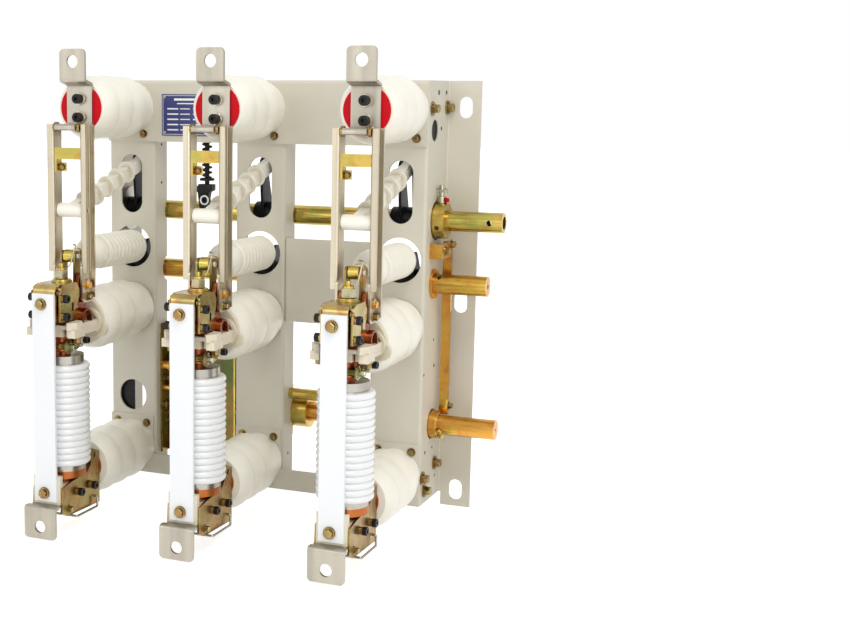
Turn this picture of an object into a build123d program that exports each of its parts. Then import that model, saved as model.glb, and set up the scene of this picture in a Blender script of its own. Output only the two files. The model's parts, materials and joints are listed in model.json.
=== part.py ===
from build123d import *
from math import atan2, cos, degrees, hypot, radians, sin
import os

# Three-pole indoor vacuum load break switch, in millimetres.
# X runs across the poles, Y points to the wall and Z is up. The model is drawn
# from the frame's front plane (y = 0 there, the poles stand at negative y) and is
# written with its origin on the wall face of the right flange, on the line of its
# slots and halfway between the middle and lower ones.

# Frame
phase_pitch = 210.0
post_outer = 37.0
post_inner = 40.0
frame_top = 313.0
frame_bottom = -281.0
frame_depth = 100.0
sheet = 3.0
bend = 3.0
post_return = 34.0
shaft_notch = 5.0
post_corner = 6.0
flange_width = 47.0
flange_bottom = -300.5
top_beam_height = 89.0
top_beam_return = 40.0
bottom_beam_height = 31.5
bottom_beam_return = 40.0
mount_tab_top = -191.0
mount_tab_half = 36.0

# Openings in the frame
rod_slot_width = 35.0
rod_slot_bottom = 117.5
rod_slot_top = 204.5
link_hole_d = 63.0
link_hole_z = 67.0
mount_slot_width = 19.0
mount_slot_height = 30.0
mount_slot_inset = 25.5
mount_slot_pitch = 276.0
side_window_d = 30.0
side_window_y = 34.5
side_window_z = 245.0
left_window_width = 45.0
left_window_height = 47.4
left_window_z = -161.3

# Covers and plates
cover_top = 90.0
cover_bottom = -30.0
cover_return = 20.0
name_plate_width = 80.0
name_plate_height = 60.0
name_plate_left = -157.0
name_plate_bottom = 233.0
name_plate_thickness = 1.0

# Post insulators
insulator_length = 141.0
insulator_base_d = 76.0
insulator_face_d = 71.0
insulator_sheds = 3
shed_d = 89.0
shed_root_d = 73.0
shed_first = 31.0
shed_pitch = 41.5
shed_lip = 3.0
shed_bulge = 2.5
upper_insulator_z = 274.0
middle_insulator_z = -25.0
lower_insulator_z = -237.0
face_disc_d = 64.0
face_disc_thickness = 2.0
lower_disc_d = 52.0

# Upper terminals
bar = 4.0
terminal_width = 40.0
upper_lug_front = 166.0
upper_lug_bend = 311.0
upper_lug_rise = 43.3
upper_lug_corner = 7.0
upper_joggle_drop = 5.0
upper_lug_hole_d = 18.0
upper_lug_hole_rise = 26.0
tongue_z = 248.0
tongue_front = 184.0
tongue_width = 32.0
tongue_edge_d = 9.0

# Isolating blades
blade_sheet = 3.0
blade_gap = 41.0
blade_flange = 10.0
blade_depth = 25.0
blade_y = -171.5
blade_top = 252.0
blade_flange_bottom = 48.0
blade_bottom = 6.0
blade_foot_corner = 6.0
blade_pivot_z = 33.0
blade_pin_d = 9.0
hinge_boss_d = 20.0
contact_pin_d = 12.0
strap_top = 220.0
strap_bottom = 204.0
strap_thickness = 3.0
clip_bottom = 187.0
clip_top = 199.0
clip_width = 11.0
clip_depth = 14.0
contact_gap = 0.5
contact_setback = 6.0
pin_proud = 3.0

# Pull rods
cross_tube_d = 20.0
cross_tube_y = -168.0
cross_tube_z = 133.0
rod_width = 14.0
rod_height = 18.0
rod_shed_width = 26.0
rod_shed_height = 32.0
rod_sheds = 5
rod_shed_first = 34.0
rod_shed_last = 52.0
rod_shed_thickness = 5.0
rod_eye_width = 12.0
rod_eye_d = 20.0
crank_pin_d = 8.0

# Isolator shaft
shaft_d = 28.0
isolator_shaft_y = 52.0
isolator_shaft_z = 120.0
isolator_shaft_reach = 96.0
shaft_bore_d = 18.0
shaft_bore_depth = 60.0
shaft_cross_hole_d = 8.0
shaft_cross_hole_back = 18.0
collar_d = 50.0
collar_length = 16.0
collar_hole_d = 56.0
crank_radius = 75.0
crank_start = 12.0
crank_plate = 4.0
crank_gap = 16.0
crank_end_d = 20.0
crank_hub_d = 36.0
crank_slack = 3.8
crank_side_slack = 1.6

# Vacuum drive shaft
drive_shaft_y = 45.0
drive_shaft_z = 32.0
drive_shaft_reach = 78.0
drive_washer_d = 42.0
drive_crank_radius = 36.0
drive_crank_start = -16.0
drive_crank_gap = 20.0
drive_crank_plate = 4.0
drive_pin_d = 8.0
drive_hub_d = 40.0

# Insulated drive links
link_rib_d = 50.0
link_core_d = 44.0
link_ribs = 10
link_rib_front = -105.0
link_rib_back = 6.0
link_dome = 36.0
link_neck_d = 18.0
link_eye_width = 14.0
link_eye_d = 17.0

# Operating shaft
operating_shaft_y = 54.0
operating_shaft_z = -171.0
operating_shaft_reach = 93.0
operating_shaft_start = 44.0
operating_collar_d = 40.0
operating_collar_length = 12.0
operating_hole_d = 44.0
bearing_wall = 10.0
bearing_length = 8.0
running_gap = 0.3

# Pole heads
pole_y = -200.0
yoke_front = 246.0
yoke_top = 37.0
yoke_back = -196.0
yoke_sheet = 4.0
yoke_bottom = -14.0
yoke_leg_half = 17.0
flange_front = -240.0
flange_shoulder = -228.0
flange_back = -190.0
flange_neck = -197.0
wing_back = -170.0
wing_top = -5.0
neck_top = 27.0
neck_bottom = 16.0
neck_foot = 6.0
side_sheet = 3.0
cheek_thickness = 6.0
cheek_outer = 19.0
head_floor = -20.0
head_floor_top = -6.0
head_front = -222.0
head_back = -168.0
ear_front = -182.0
ear_back = -162.0
ear_top = 45.0
ear_root = -187.0
ear_foot = 30.0
head_step = 4.0
stem_d = 14.0
stem_top = 56.0
stem_foot_d = 22.4
slot_y = -208.0
slot_top = 8.0
slot_bottom = 0.0
slot_d = 5.0
plate_corner = 1.5
head_core_d = 36.0
clamp_d = 43.0
clamp_height = 9.0
clamp_ear_x = 24.0
clamp_ear_z = -50.0
clamp_ear_d = 20.0
strap_arch_d = 26.0
strap_arch_y = -181.5
strap_arch_z = -14.0
strap_arch_width = 8.0
lever_pivot_y = -178.0
lever_pivot_z = 12.0
lever_eye_y = -176.0
lever_eye_z = 70.0
lever_gap = 18.0
lever_plate = 3.0
lever_end_d = 16.0
lever_pin_d = 7.0
lever_eye_slack = 0.7
lever_toe_y = -200.0
lever_toe_z = 12.0

# Middle supports
cradle_top = -20.0
cradle_height = 16.0
cradle_half_width = 38.5
cradle_front = -229.0
cradle_shoulder = -204.0
cradle_waist_half = 31.0
cradle_end_width = 12.0
cradle_end_front = -231.0
cradle_end_split = -25.0
cradle_pad_top = -15.0
cradle_pad_front = -236.0
cradle_notch = 10.0
cradle_pad_chamfer = 4.0
cradle_pad_back = 10.0
cradle_pad_heel = 5.0
cradle_opening_half = 18.5
cradle_opening_front = -221.0
cradle_opening_back = -164.0
support_disc_d = 68.0
support_disc_thickness = 7.0
support_ear_d = 22.0
support_ear_x = 29.0
support_ear_z = -35.0
support_rib_d = 40.0
support_rib_x = 14.0
support_rib_depth = 7.0

# Vacuum interrupters
ceramic_top = -76.0
ceramic_bottom = -218.0
ceramic_d = 70.0
ceramic_rib_d = 75.6
ceramic_ribs = 16
top_ring_d = 59.0
top_ring_height = 12.0
low_ring_d = 62.0
low_ring_height = 8.0
copper_band_d = 62.5
copper_band_bottom = -236.0
copper_neck_d = 40.0

# Lower contacts and ties
lower_block_top = -243.0
lower_block_bottom = -268.0
lower_block_half = 21.0
lower_block_front = -246.0
lower_wall = 7.0
lower_wall_top = -228.0
lower_plate = 3.0
plate_ear_front = -165.0
plate_ear_top = -205.0
plate_ear_back = -213.0
plate_ear_foot = -228.0
plate_knee = -177.0
plate_knee_z = -237.0
plate_step = -222.0
plate_step_z = -241.0
plate_front_top = -245.0
plate_toe_z = -280.0
plate_heel = -232.0
plate_bottom = -287.0
plate_hole_y = -156.0
plate_hole_z = -217.0
plate_hole_d = 5.0
lower_lug_front = 266.0
lower_lug_width = 50.0
lower_lug_drop = 45.0
lower_lug_corner = 6.0
lower_lug_back = -200.0
lower_lug_hole_d = 17.0
lower_lug_hole_drop = 28.0
tie_width = 34.0
tie_top = 25.5
tie_bottom = -264.0
tie_thickness = 4.0
bail_wire_d = 3.5
bail_half = 30.0
bail_front = -216.0
bail_back = -160.0
bail_anchor_z = -276.0
bail_z = -290.5

# Mechanism, spring and interlock
housing_top = -50.0
housing_bottom = -250.0
housing_front = 18.0
bearing_plate_top = -130.0
bearing_plate_bottom = -205.0
bearing_hub_start = 24.0
bearing_hub_end = 62.0
spring_x = -99.0
spring_setback = 12.0
spring_coil_d = 16.0
spring_bottom = 172.0
spring_cup_drop = 40.0
spring_cup = 4.0
spring_rod_d = 7.0
spring_lever_top = 162.0
spring_lever_bottom = 124.0
spring_lever_step = 5.0
spring_lever_left = 18.0
spring_lever_right = 6.0
spring_lever_front = 16.0
spring_lever_back = 32.0
interlock_gap = 5.0
interlock_width = 13.0
interlock_y = 72.0
interlock_thickness = 4.0
interlock_top = 89.5
interlock_bottom = -140.0
bracket_height = 21.0
bracket_front = 23.0
stay_tube_d = 16.0
stay_tube_y = 30.0
stay_tube_z = -141.0
rear_strip_z = -262.0
rear_strip_front = 24.0
rear_strip_back = 36.0

frame_half_width = phase_pitch + post_outer
outer_post_half_x = phase_pitch - post_inner
post_width = post_outer + post_inner
mount_slot_x = frame_half_width + mount_slot_inset
isolator_shaft_end = frame_half_width + isolator_shaft_reach
drive_shaft_end = frame_half_width + drive_shaft_reach
operating_shaft_end = frame_half_width + operating_shaft_reach
interlock_x = frame_half_width + interlock_gap
upper_lug_top = upper_lug_bend + upper_lug_rise
upper_lug_hole_z = upper_lug_bend + upper_lug_hole_rise
lower_lug_bottom = lower_block_bottom - lower_lug_drop
lower_lug_hole_z = lower_block_bottom - lower_lug_hole_drop
phases = (-phase_pitch, 0.0, phase_pitch)
poles = ("a", "b", "c")
origin = Pos(-mount_slot_x, -frame_depth, mount_slot_pitch / 2)
post_half = post_width / 2
post_top = frame_top - sheet - bend
post_bottom = frame_bottom + sheet + bend
web_y = 1.5 * sheet
web_back = 2 * sheet
blade_inner = blade_gap / 2
blade_mid = blade_inner + blade_sheet / 2
blade_front = blade_y - blade_depth / 2
blade_back = blade_y + blade_depth / 2


# Drawing helpers
def block(x0, x1, y0, y1, z0, z1):
    """A box between two corners."""
    centre = Pos((x0 + x1) / 2, (y0 + y1) / 2, (z0 + z1) / 2)
    return centre * Box(x1 - x0, y1 - y0, z1 - z0)


def rod_x(diameter, x0, x1, y, z):
    """A round bar along X."""
    return Pos((x0 + x1) / 2, y, z) * Rot(0, 90, 0) * Cylinder(diameter / 2, x1 - x0)


def rod_y(diameter, y0, y1, x, z):
    """A round bar along Y."""
    return Pos(x, (y0 + y1) / 2, z) * Rot(90, 0, 0) * Cylinder(diameter / 2, y1 - y0)


def rod_z(diameter, z0, z1, x, y):
    """A round bar along Z."""
    return Pos(x, y, (z0 + z1) / 2) * Cylinder(diameter / 2, z1 - z0)


def ring_x(outer, inner, x0, x1, y, z):
    """A round ring along X."""
    return rod_x(outer, x0, x1, y, z) - rod_x(inner, x0 - 1, x1 + 1, y, z)


def slot_z(x, z, width, height):
    """An upright obround cutter through the front sheet."""
    outline = SlotOverall(height, width, rotation=90)
    return extrude(Plane.XZ * Pos(x, z) * outline, 4 * sheet, both=True)


def bent_sheet(points, thickness, radius):
    """The cross-section of a folded sheet, from the points of its middle line."""
    return trace(FilletPolyline(*points, radius=radius).edges(), line_width=thickness)


def upright(points, thickness, radius, z0, z1):
    """A folded sheet that stands upright, drawn in plan."""
    return Pos(0, 0, z0) * extrude(bent_sheet(points, thickness, radius), z1 - z0)


def across(points, thickness, radius, x0, x1):
    """A folded sheet that runs across, drawn from the side in y and z."""
    return extrude(Plane.YZ.offset(x0) * bent_sheet(points, thickness, radius), x1 - x0)


def side_plate(points, x0, x1, radius=0):
    """A flat plate drawn from the side in y and z, with rounded corners if a radius is given."""
    if radius:
        outline = FilletPolyline(*points, radius=radius, close=True)
    else:
        outline = Polyline(*points, close=True)
    return extrude(Plane.YZ.offset(x0) * make_face(outline), x1 - x0)


def corner_cuts(half, edge, up, radius, y0, y1):
    """What rounds off both corners at the end of an upright bar; up is 1 or -1."""
    centre = edge - up * radius
    z0, z1 = sorted((centre, edge + up))
    corner = block(half - radius, half + 1, y0, y1, z0, z1)
    return mirrored(corner - rod_y(2 * radius, y0 - 1, y1 + 1, half - radius, centre))


def lever_arm(ends, x0, x1):
    """A flat arm, the outline round the given (y, z, diameter) ends."""
    discs = [Pos(y, z) * Circle(d / 2) for y, z, d in ends]
    return extrude(Plane.YZ.offset(x0) * make_hull(Sketch(children=discs).edges()), x1 - x0)


def mirrored(shape):
    """A shape and its mirror image left to right."""
    return shape + mirror(shape, Plane.YZ)


def at_poles(shape):
    """One copy of a shape on each pole."""
    return [Pos(x, 0, 0) * shape for x in phases]


def save(name, *shapes):
    """Write one node's solids, moved from the drawing's zero to the origin."""
    solids = [origin * solid for shape in shapes for solid in shape.solids()]
    shape = solids[0] if len(solids) == 1 else Compound(children=solids)
    export_step(shape, os.path.join("parts", name + ".step"))


# Frame
def post_openings(x):
    """The rod slot and the link hole in one front web."""
    slot_mid = (rod_slot_bottom + rod_slot_top) / 2
    slot = slot_z(x, slot_mid, rod_slot_width, rod_slot_top - rod_slot_bottom)
    return slot + rod_y(link_hole_d, -sheet, 5 * sheet, x, link_hole_z)


def shaft_notches(x):
    """Cuts in the rear edge of a return, round the shafts that pass it."""
    size = shaft_d + 2 * shaft_notch
    x0 = x - 2 * sheet
    x1 = x + 2 * sheet
    cuts = rod_x(size, x0, x1, isolator_shaft_y, isolator_shaft_z)
    cuts += rod_x(size, x0, x1, drive_shaft_y, drive_shaft_z)
    return cuts + rod_x(size, x0, x1, operating_shaft_y, operating_shaft_z)


def outer_post():
    """Right-hand post: front web, inner return, side plate and rear flange."""
    half = sheet / 2
    inner = outer_post_half_x + half
    outer = frame_half_width - half
    points = [
        (inner, web_back + post_return),
        (inner, web_y),
        (outer, web_y),
        (outer, frame_depth - half),
        (frame_half_width + flange_width, frame_depth - half),
    ]
    post = upright(points, sheet, bend, frame_bottom, frame_top)
    plate = frame_half_width - sheet
    for edge, inside, up in ((frame_top, post_top, 1), (frame_bottom, post_bottom, -1)):
        z0, z1 = sorted((inside, edge + up))
        post -= block(outer_post_half_x - 1, plate, -1, frame_depth - sheet, z0, z1)
        z0, z1 = sorted((edge - up * post_corner, edge + up))
        corner = block(plate - 1, frame_half_width + 1, -1, post_corner, z0, z1)
        post -= corner - rod_x(2 * post_corner, plate - 2, frame_half_width + 2, post_corner,
                               edge - up * post_corner)
    post += block(frame_half_width + bend, frame_half_width + flange_width, frame_depth - sheet,
                  frame_depth, flange_bottom, frame_bottom)
    post -= post_openings(phase_pitch)
    post -= shaft_notches(outer_post_half_x)
    for z in (-mount_slot_pitch, 0, mount_slot_pitch):
        post -= Pos(0, frame_depth, 0) * slot_z(mount_slot_x, z, mount_slot_width, mount_slot_height)
    x0 = frame_half_width - 3 * sheet
    x1 = frame_half_width + sheet
    post -= rod_x(collar_hole_d, x0, x1, isolator_shaft_y, isolator_shaft_z)
    post -= rod_x(shaft_d + 2 * running_gap, x0, x1, drive_shaft_y, drive_shaft_z)
    post -= rod_x(operating_hole_d, x0, x1, operating_shaft_y, operating_shaft_z)
    post -= rod_x(side_window_d, x0, x1, side_window_y, side_window_z)
    return post


def middle_post():
    """Middle post, a plain channel."""
    half = sheet / 2
    edge = post_half - half
    points = [
        (-edge, web_back + post_return),
        (-edge, web_y),
        (edge, web_y),
        (edge, web_back + post_return),
    ]
    post = upright(points, sheet, bend, post_bottom, post_top)
    return post - post_openings(0) - shaft_notches(post_half) - shaft_notches(-post_half)


def left_post():
    """Left-hand post: the right one mirrored, with its own window."""
    post = mirror(outer_post(), Plane.YZ)
    return post - slot_z(-phase_pitch, left_window_z, left_window_width, left_window_height)


def fold_ends(edge, up):
    """The ends of a beam's fold, cut away so that it fits between the side plates."""
    z0, z1 = sorted((edge - up * 2 * bend, edge + up))
    return mirrored(block(frame_half_width - sheet - running_gap, frame_half_width + 1, sheet,
                          2 * top_beam_return, z0, z1))


def top_beam():
    """Front sheet over the posts, folded back along its top edge."""
    half = sheet / 2
    points = [(half, frame_top - top_beam_height), (half, frame_top - half),
              (top_beam_return, frame_top - half)]
    beam = across(points, sheet, bend, -frame_half_width, frame_half_width)
    return beam - fold_ends(frame_top, 1)


def bottom_beam():
    """Front sheet with a raised tab on each post, folded back along its lower edge."""
    half = sheet / 2
    top = frame_bottom + bottom_beam_height
    points = [(half, top), (half, frame_bottom + half), (bottom_beam_return, frame_bottom + half)]
    beam = across(points, sheet, bend, -frame_half_width, frame_half_width)
    beam -= fold_ends(frame_bottom, -1)
    tab = block(-mount_tab_half, mount_tab_half, 0, sheet, top, mount_tab_top)
    for placed in at_poles(tab):
        beam += placed
    return beam


def cover():
    """Plate that closes the bay between the middle and right posts."""
    half = sheet / 2
    x0 = post_half + half
    x1 = outer_post_half_x - half
    points = [(x0, web_y + cover_return), (x0, web_y), (x1, web_y), (x1, web_y + cover_return)]
    return upright(points, sheet, bend, cover_bottom, cover_top)


def name_plate():
    """Bare plate on the top beam."""
    x1 = name_plate_left + name_plate_width
    top = name_plate_bottom + name_plate_height
    return block(name_plate_left, x1, -name_plate_thickness, 0, name_plate_bottom, top)


# Insulators
def post_insulator():
    """Shed profile turned about the Y axis, from the frame to the front face."""
    base = insulator_base_d / 2
    root = shed_root_d / 2
    crest = shed_d / 2
    outline = [Line((0, 0), (base, 0)), Line((base, 0), (root, shed_lip - shed_first))]
    for k in range(insulator_sheds):
        edge = -shed_first - k * shed_pitch
        stop = (root, edge - shed_pitch + shed_lip)
        if k == insulator_sheds - 1:
            stop = (insulator_face_d / 2, -insulator_length)
        middle = ((crest + stop[0]) / 2 + shed_bulge, (edge + stop[1]) / 2)
        outline.append(Line((root, edge + shed_lip), (crest, edge)))
        outline.append(ThreePointArc((crest, edge), middle, stop))
    outline.append(Line(stop, (0, -insulator_length)))
    outline.append(Line((0, -insulator_length), (0, 0)))
    return revolve(make_face(outline), Axis.Y)


def face_disc(diameter, z):
    """Thin disc on an insulator's front face."""
    return rod_y(diameter, -insulator_length - face_disc_thickness, -insulator_length, 0, z)


# Upper terminals
def upper_terminal():
    """Flat bar with the lug on top and the contact tongue at its foot."""
    seat = -insulator_length - face_disc_thickness - bar / 2
    lug = -upper_lug_front + bar / 2
    points = [
        (lug, upper_lug_top),
        (lug, upper_lug_bend),
        (seat, upper_lug_bend - upper_joggle_drop),
        (seat, tongue_z),
        (-tongue_front, tongue_z),
    ]
    half = terminal_width / 2
    body = across(points, bar, 2 * bar / 3, -half, half)
    y0 = -upper_lug_front - 1
    y1 = -upper_lug_front + bar + 1
    body -= rod_y(upper_lug_hole_d, y0, y1, 0, upper_lug_hole_z)
    body -= corner_cuts(half, upper_lug_top, 1, upper_lug_corner, y0, y1)
    front = -tongue_front - bar
    for side in (-1, 1):
        x0, x1 = sorted((side * tongue_width / 2, side * (half + 1)))
        body -= block(x0, x1, front, seat - bar, tongue_z - bar, tongue_z + bar)
    edge_half = tongue_width / 2
    return body + rod_x(tongue_edge_d, -edge_half, edge_half, -tongue_front, tongue_z)


# Isolating blades
def blade_pair():
    """Two channels that open outwards, with the pivot pins at their feet."""
    x0 = blade_mid
    x1 = blade_inner + blade_flange
    half = blade_sheet / 2
    points = [(x1, blade_front + half), (x0, blade_front + half), (x0, blade_back - half),
              (x1, blade_back - half)]
    channel = upright(points, blade_sheet, blade_sheet, blade_flange_bottom, blade_top)
    overlap = 2 * blade_foot_corner
    foot_top = blade_flange_bottom + overlap
    foot_points = [(blade_front, foot_top), (blade_back, foot_top), (blade_back, blade_bottom),
                   (blade_front, blade_bottom)]
    foot = side_plate(foot_points, blade_inner, blade_inner + blade_sheet, blade_foot_corner)
    foot += block(blade_inner, x1, blade_back - blade_sheet, blade_back,
                  blade_bottom + blade_foot_corner, blade_flange_bottom)
    pin_in = cheek_outer - cheek_thickness
    pin_end = blade_inner + blade_sheet + pin_proud
    pin = rod_x(blade_pin_d, pin_in, pin_end, blade_y, blade_pivot_z)
    boss = rod_x(hinge_boss_d, cheek_outer + running_gap, blade_inner, blade_y, blade_pivot_z)
    blade = channel + foot + pin + boss
    tube_hole = rod_x(crank_pin_d, 0, x1, cross_tube_y, cross_tube_z)
    return [blade - tube_hole, mirror(blade - tube_hole, Plane.YZ)]


def blade_strap():
    """Cross strap between the blades, its clip and the contact buttons."""
    y0 = blade_front + blade_sheet
    strap = block(-blade_inner, blade_inner, y0, y0 + strap_thickness, strap_bottom, strap_top)
    y1 = y0 + clip_depth
    x0 = -blade_inner
    clip = block(x0, x0 + strap_thickness, y0, y1, clip_bottom, strap_bottom)
    clip += block(x0, x0 + clip_width, y1 - strap_thickness, y1, clip_bottom, clip_top)
    button_start = tongue_width / 2 + contact_gap
    button_y = contact_setback - tongue_front
    button = rod_x(contact_pin_d, button_start, blade_inner, button_y, tongue_z)
    return [strap + clip, button, mirror(button, Plane.YZ)]


# Pull rods, drawn along their own axis and then laid between their two pivots
def crank_pin():
    """Closed position of the pin at the end of the isolator crank."""
    angle = radians(crank_start)
    y = isolator_shaft_y - crank_radius * sin(angle)
    return (y, isolator_shaft_z + crank_radius * cos(angle))


def pull_rod():
    """Ivory rod with flattened sheds, in one piece with its cross tube."""
    pin_y, pin_z = crank_pin()
    length = hypot(pin_y - cross_tube_y, pin_z - cross_tube_z)
    tilt = degrees(atan2(pin_z - cross_tube_z, pin_y - cross_tube_y))
    core_half = rod_height / 2
    core = block(-rod_width / 2, rod_width / 2, 0, length - rod_eye_d, -core_half, core_half)
    shed_span = length - rod_shed_last - rod_shed_first
    shed_face = Ellipse(rod_shed_width / 2, rod_shed_height / 2)
    for k in range(rod_sheds):
        y = rod_shed_first + shed_span * k / (rod_sheds - 1)
        face = Plane.XZ.offset(-y - rod_shed_thickness / 2) * shed_face
        core += extrude(face, rod_shed_thickness)
    half = rod_eye_width / 2
    eye = rod_x(rod_eye_d, -half, half, length, 0)
    eye += block(-half, half, length - rod_eye_d - 1, length, -core_half, core_half)
    pin_half = crank_gap / 2 + crank_plate + 2
    pin = rod_x(crank_pin_d, -pin_half, pin_half, length, 0)
    tube_half = blade_inner - running_gap
    tube = rod_x(cross_tube_d, -tube_half, tube_half, 0, 0)
    end_pin_half = blade_inner + blade_sheet
    tube += rod_x(crank_pin_d - running_gap, -end_pin_half, end_pin_half, 0, 0)
    rod = core + eye + pin + tube
    return Pos(0, cross_tube_y, cross_tube_z) * Rot(tilt, 0, 0) * rod


# Isolator shaft
def isolator_shaft():
    """Hollow shaft across all three posts, with the slotted collar outside."""
    x0 = -frame_half_width + sheet
    y = isolator_shaft_y
    z = isolator_shaft_z
    shaft = rod_x(shaft_d, x0, isolator_shaft_end, y, z)
    bore_start = isolator_shaft_end - shaft_bore_depth
    shaft -= rod_x(shaft_bore_d, bore_start, isolator_shaft_end + 1, y, z)
    hole_x = isolator_shaft_end - shaft_cross_hole_back
    shaft -= rod_y(shaft_cross_hole_d, y - shaft_d, y + shaft_d, hole_x, z)
    collar_start = frame_half_width - sheet + running_gap
    shaft += rod_x(collar_d, collar_start, frame_half_width + collar_length, y, z)
    return shaft


def crank_pair(gap, plate, hub_d, end_d, slack, shaft_y, shaft_z, pin_y, pin_z, pin_d):
    """Two crank plates on a shaft, with a pin hole or a slack slot at their end."""
    x0 = gap / 2
    x1 = x0 + plate
    reach = hypot(pin_y - shaft_y, pin_z - shaft_z)
    along_y = (pin_y - shaft_y) / reach
    along_z = (pin_z - shaft_z) / reach
    arm = lever_arm([(shaft_y, shaft_z, hub_d), (pin_y, pin_z, end_d)], x0, x1)
    arm -= rod_x(shaft_d, x0 - 1, x1 + 1, shaft_y, shaft_z)
    if slack:
        cut_d = pin_d + 2 * (crank_side_slack + running_gap)
        ends = [(pin_y, pin_z, cut_d), (pin_y - along_y * slack, pin_z - along_z * slack, cut_d)]
        arm -= lever_arm(ends, x0 - 1, x1 + 1)
    else:
        arm -= rod_x(pin_d, x0 - 1, x1 + 1, pin_y, pin_z)
    return [arm, mirror(arm, Plane.YZ)]


# Vacuum drive
def drive_pin():
    """Closed position of the pin at the end of the drive crank."""
    angle = radians(drive_crank_start)
    y = drive_shaft_y + drive_crank_radius * sin(angle)
    return (y, drive_shaft_z + drive_crank_radius * cos(angle))


def drive_shaft():
    """Solid shaft across all posts, with its washer outside."""
    x0 = -frame_half_width + sheet
    shaft = rod_x(shaft_d, x0, drive_shaft_end, drive_shaft_y, drive_shaft_z)
    washer_x = frame_half_width + running_gap
    return shaft + rod_x(drive_washer_d, washer_x, washer_x + sheet, drive_shaft_y, drive_shaft_z)


def drive_link():
    """Ribbed ivory link from the drive crank to the head lever."""
    pin_y, pin_z = drive_pin()
    length = hypot(pin_y - lever_eye_y, pin_z - lever_eye_z)
    tilt = degrees(atan2(pin_z - lever_eye_z, pin_y - lever_eye_y))
    front = link_rib_front - lever_eye_y
    back = link_rib_back - lever_eye_y
    pitch = (back - front) / link_ribs
    neck = link_neck_d / 2
    core = link_core_d / 2
    dome = front - link_dome
    bulge = (core - (core - neck) / 4, dome + link_dome / 4)
    outline = [Line((0, 0), (neck, 0)), Line((neck, 0), (neck, dome))]
    outline.append(ThreePointArc((neck, dome), bulge, (core, front)))
    for k in range(link_ribs):
        start = front + k * pitch
        crest = (link_rib_d / 2, start + pitch / 2)
        outline.append(ThreePointArc((core, start), crest, (core, start + pitch)))
    outline += Polyline((core, back), (neck, back), (neck, length - link_eye_d),
                        (0, length - link_eye_d), (0, 0)).edges()
    body = revolve(make_face(outline), Axis.Y)
    half = link_eye_width / 2
    flat = link_neck_d
    for side in (-1, 1):
        x0, x1 = sorted((side * half, side * flat))
        body -= block(x0, x1, -1, lever_end_d, -flat, flat)
    front_eye = rod_x(link_eye_d, -half, half, 0, 0)
    rear_eye = rod_x(link_eye_d, -half, half, length, 0)
    rear_eye += block(-half, half, length - link_eye_d - 1, length, -neck, neck)
    body += front_eye + rear_eye
    pin_half = drive_crank_gap / 2
    body -= rod_x(drive_pin_d + 2 * running_gap, -pin_half, pin_half, length, 0)
    lever_half = lever_gap / 2 + lever_plate + 2
    body += rod_x(lever_pin_d, -lever_half, lever_half, 0, 0)
    return Pos(0, lever_eye_y, lever_eye_z) * Rot(tilt, 0, 0) * body


def head_lever():
    """Triangular lever plates that lift the contact stem."""
    x0 = lever_gap / 2
    x1 = x0 + lever_plate
    pivot = (lever_pivot_y, lever_pivot_z, lever_end_d)
    arm = lever_arm([pivot, (lever_eye_y, lever_eye_z, lever_end_d)], x0, x1)
    arm += lever_arm([pivot, (lever_toe_y, lever_toe_z, lever_end_d / 2)], x0, x1)
    cut = lever_pin_d + 2 * lever_eye_slack
    arm -= rod_x(cut, x0 - 1, x1 + 1, lever_eye_y, lever_eye_z)
    both = arm + mirror(arm, Plane.YZ)
    return both + rod_x(lever_pin_d, -cheek_outer + 1, cheek_outer - 1, lever_pivot_y, lever_pivot_z)


# Operating shaft
def operating_shaft():
    """Lower shaft from the mechanism out through the right side plate."""
    y = operating_shaft_y
    z = operating_shaft_z
    shaft = rod_x(shaft_d, operating_shaft_start, operating_shaft_end, y, z)
    x0 = frame_half_width - sheet + running_gap
    return shaft + rod_x(operating_collar_d, x0, x0 + operating_collar_length, y, z)


def shaft_bearings():
    """Rings inside the side plates that carry the three shafts."""
    rings = []
    bore = shaft_d + 2 * running_gap
    outer = collar_hole_d + bearing_wall
    x1 = frame_half_width - sheet
    x0 = x1 - bearing_length
    for y, z, sides in ((isolator_shaft_y, isolator_shaft_z, (1, -1)),
                        (drive_shaft_y, drive_shaft_z, (1, -1)),
                        (operating_shaft_y, operating_shaft_z, (1,))):
        size = outer if z != drive_shaft_z else shaft_d + 2 * bearing_wall
        for side in sides:
            a, b = sorted((side * x0, side * x1))
            rings.append(ring_x(size, bore, a, b, y, z))
    return rings


# Pole heads
def yoke():
    """Folded cap over the contact head, with side flanges that take the screws."""
    half = yoke_sheet / 2
    points = [(-yoke_front + half, yoke_bottom), (-yoke_front + half, yoke_top - half),
              (yoke_back, yoke_top - half)]
    cap = across(points, yoke_sheet, 2 * yoke_sheet, -cheek_outer, cheek_outer)
    front = -yoke_front
    leg_side = block(yoke_leg_half, cheek_outer + 1, front - 1, flange_front, yoke_bottom - 1, yoke_top + 1)
    cap -= mirrored(leg_side)
    outline = [(flange_front, yoke_bottom), (flange_front, yoke_top - yoke_sheet),
               (flange_shoulder, yoke_top), (flange_neck, yoke_top), (flange_back, neck_top),
               (flange_back, neck_bottom), (flange_neck, neck_foot), (flange_back, wing_top),
               (wing_back, wing_top - 2), (wing_back, yoke_bottom)]
    side = side_plate(outline, cheek_outer, cheek_outer + side_sheet, plate_corner)
    slot = [(slot_y, slot_top, slot_d), (slot_y, slot_bottom, slot_d)]
    side -= lever_arm(slot, cheek_outer - 1, cheek_outer + side_sheet + 1)
    cap -= rod_z(stem_d + 1, yoke_top - yoke_sheet - 1, yoke_top + 1, 0, pole_y)
    return cap + mirrored(side)


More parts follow.
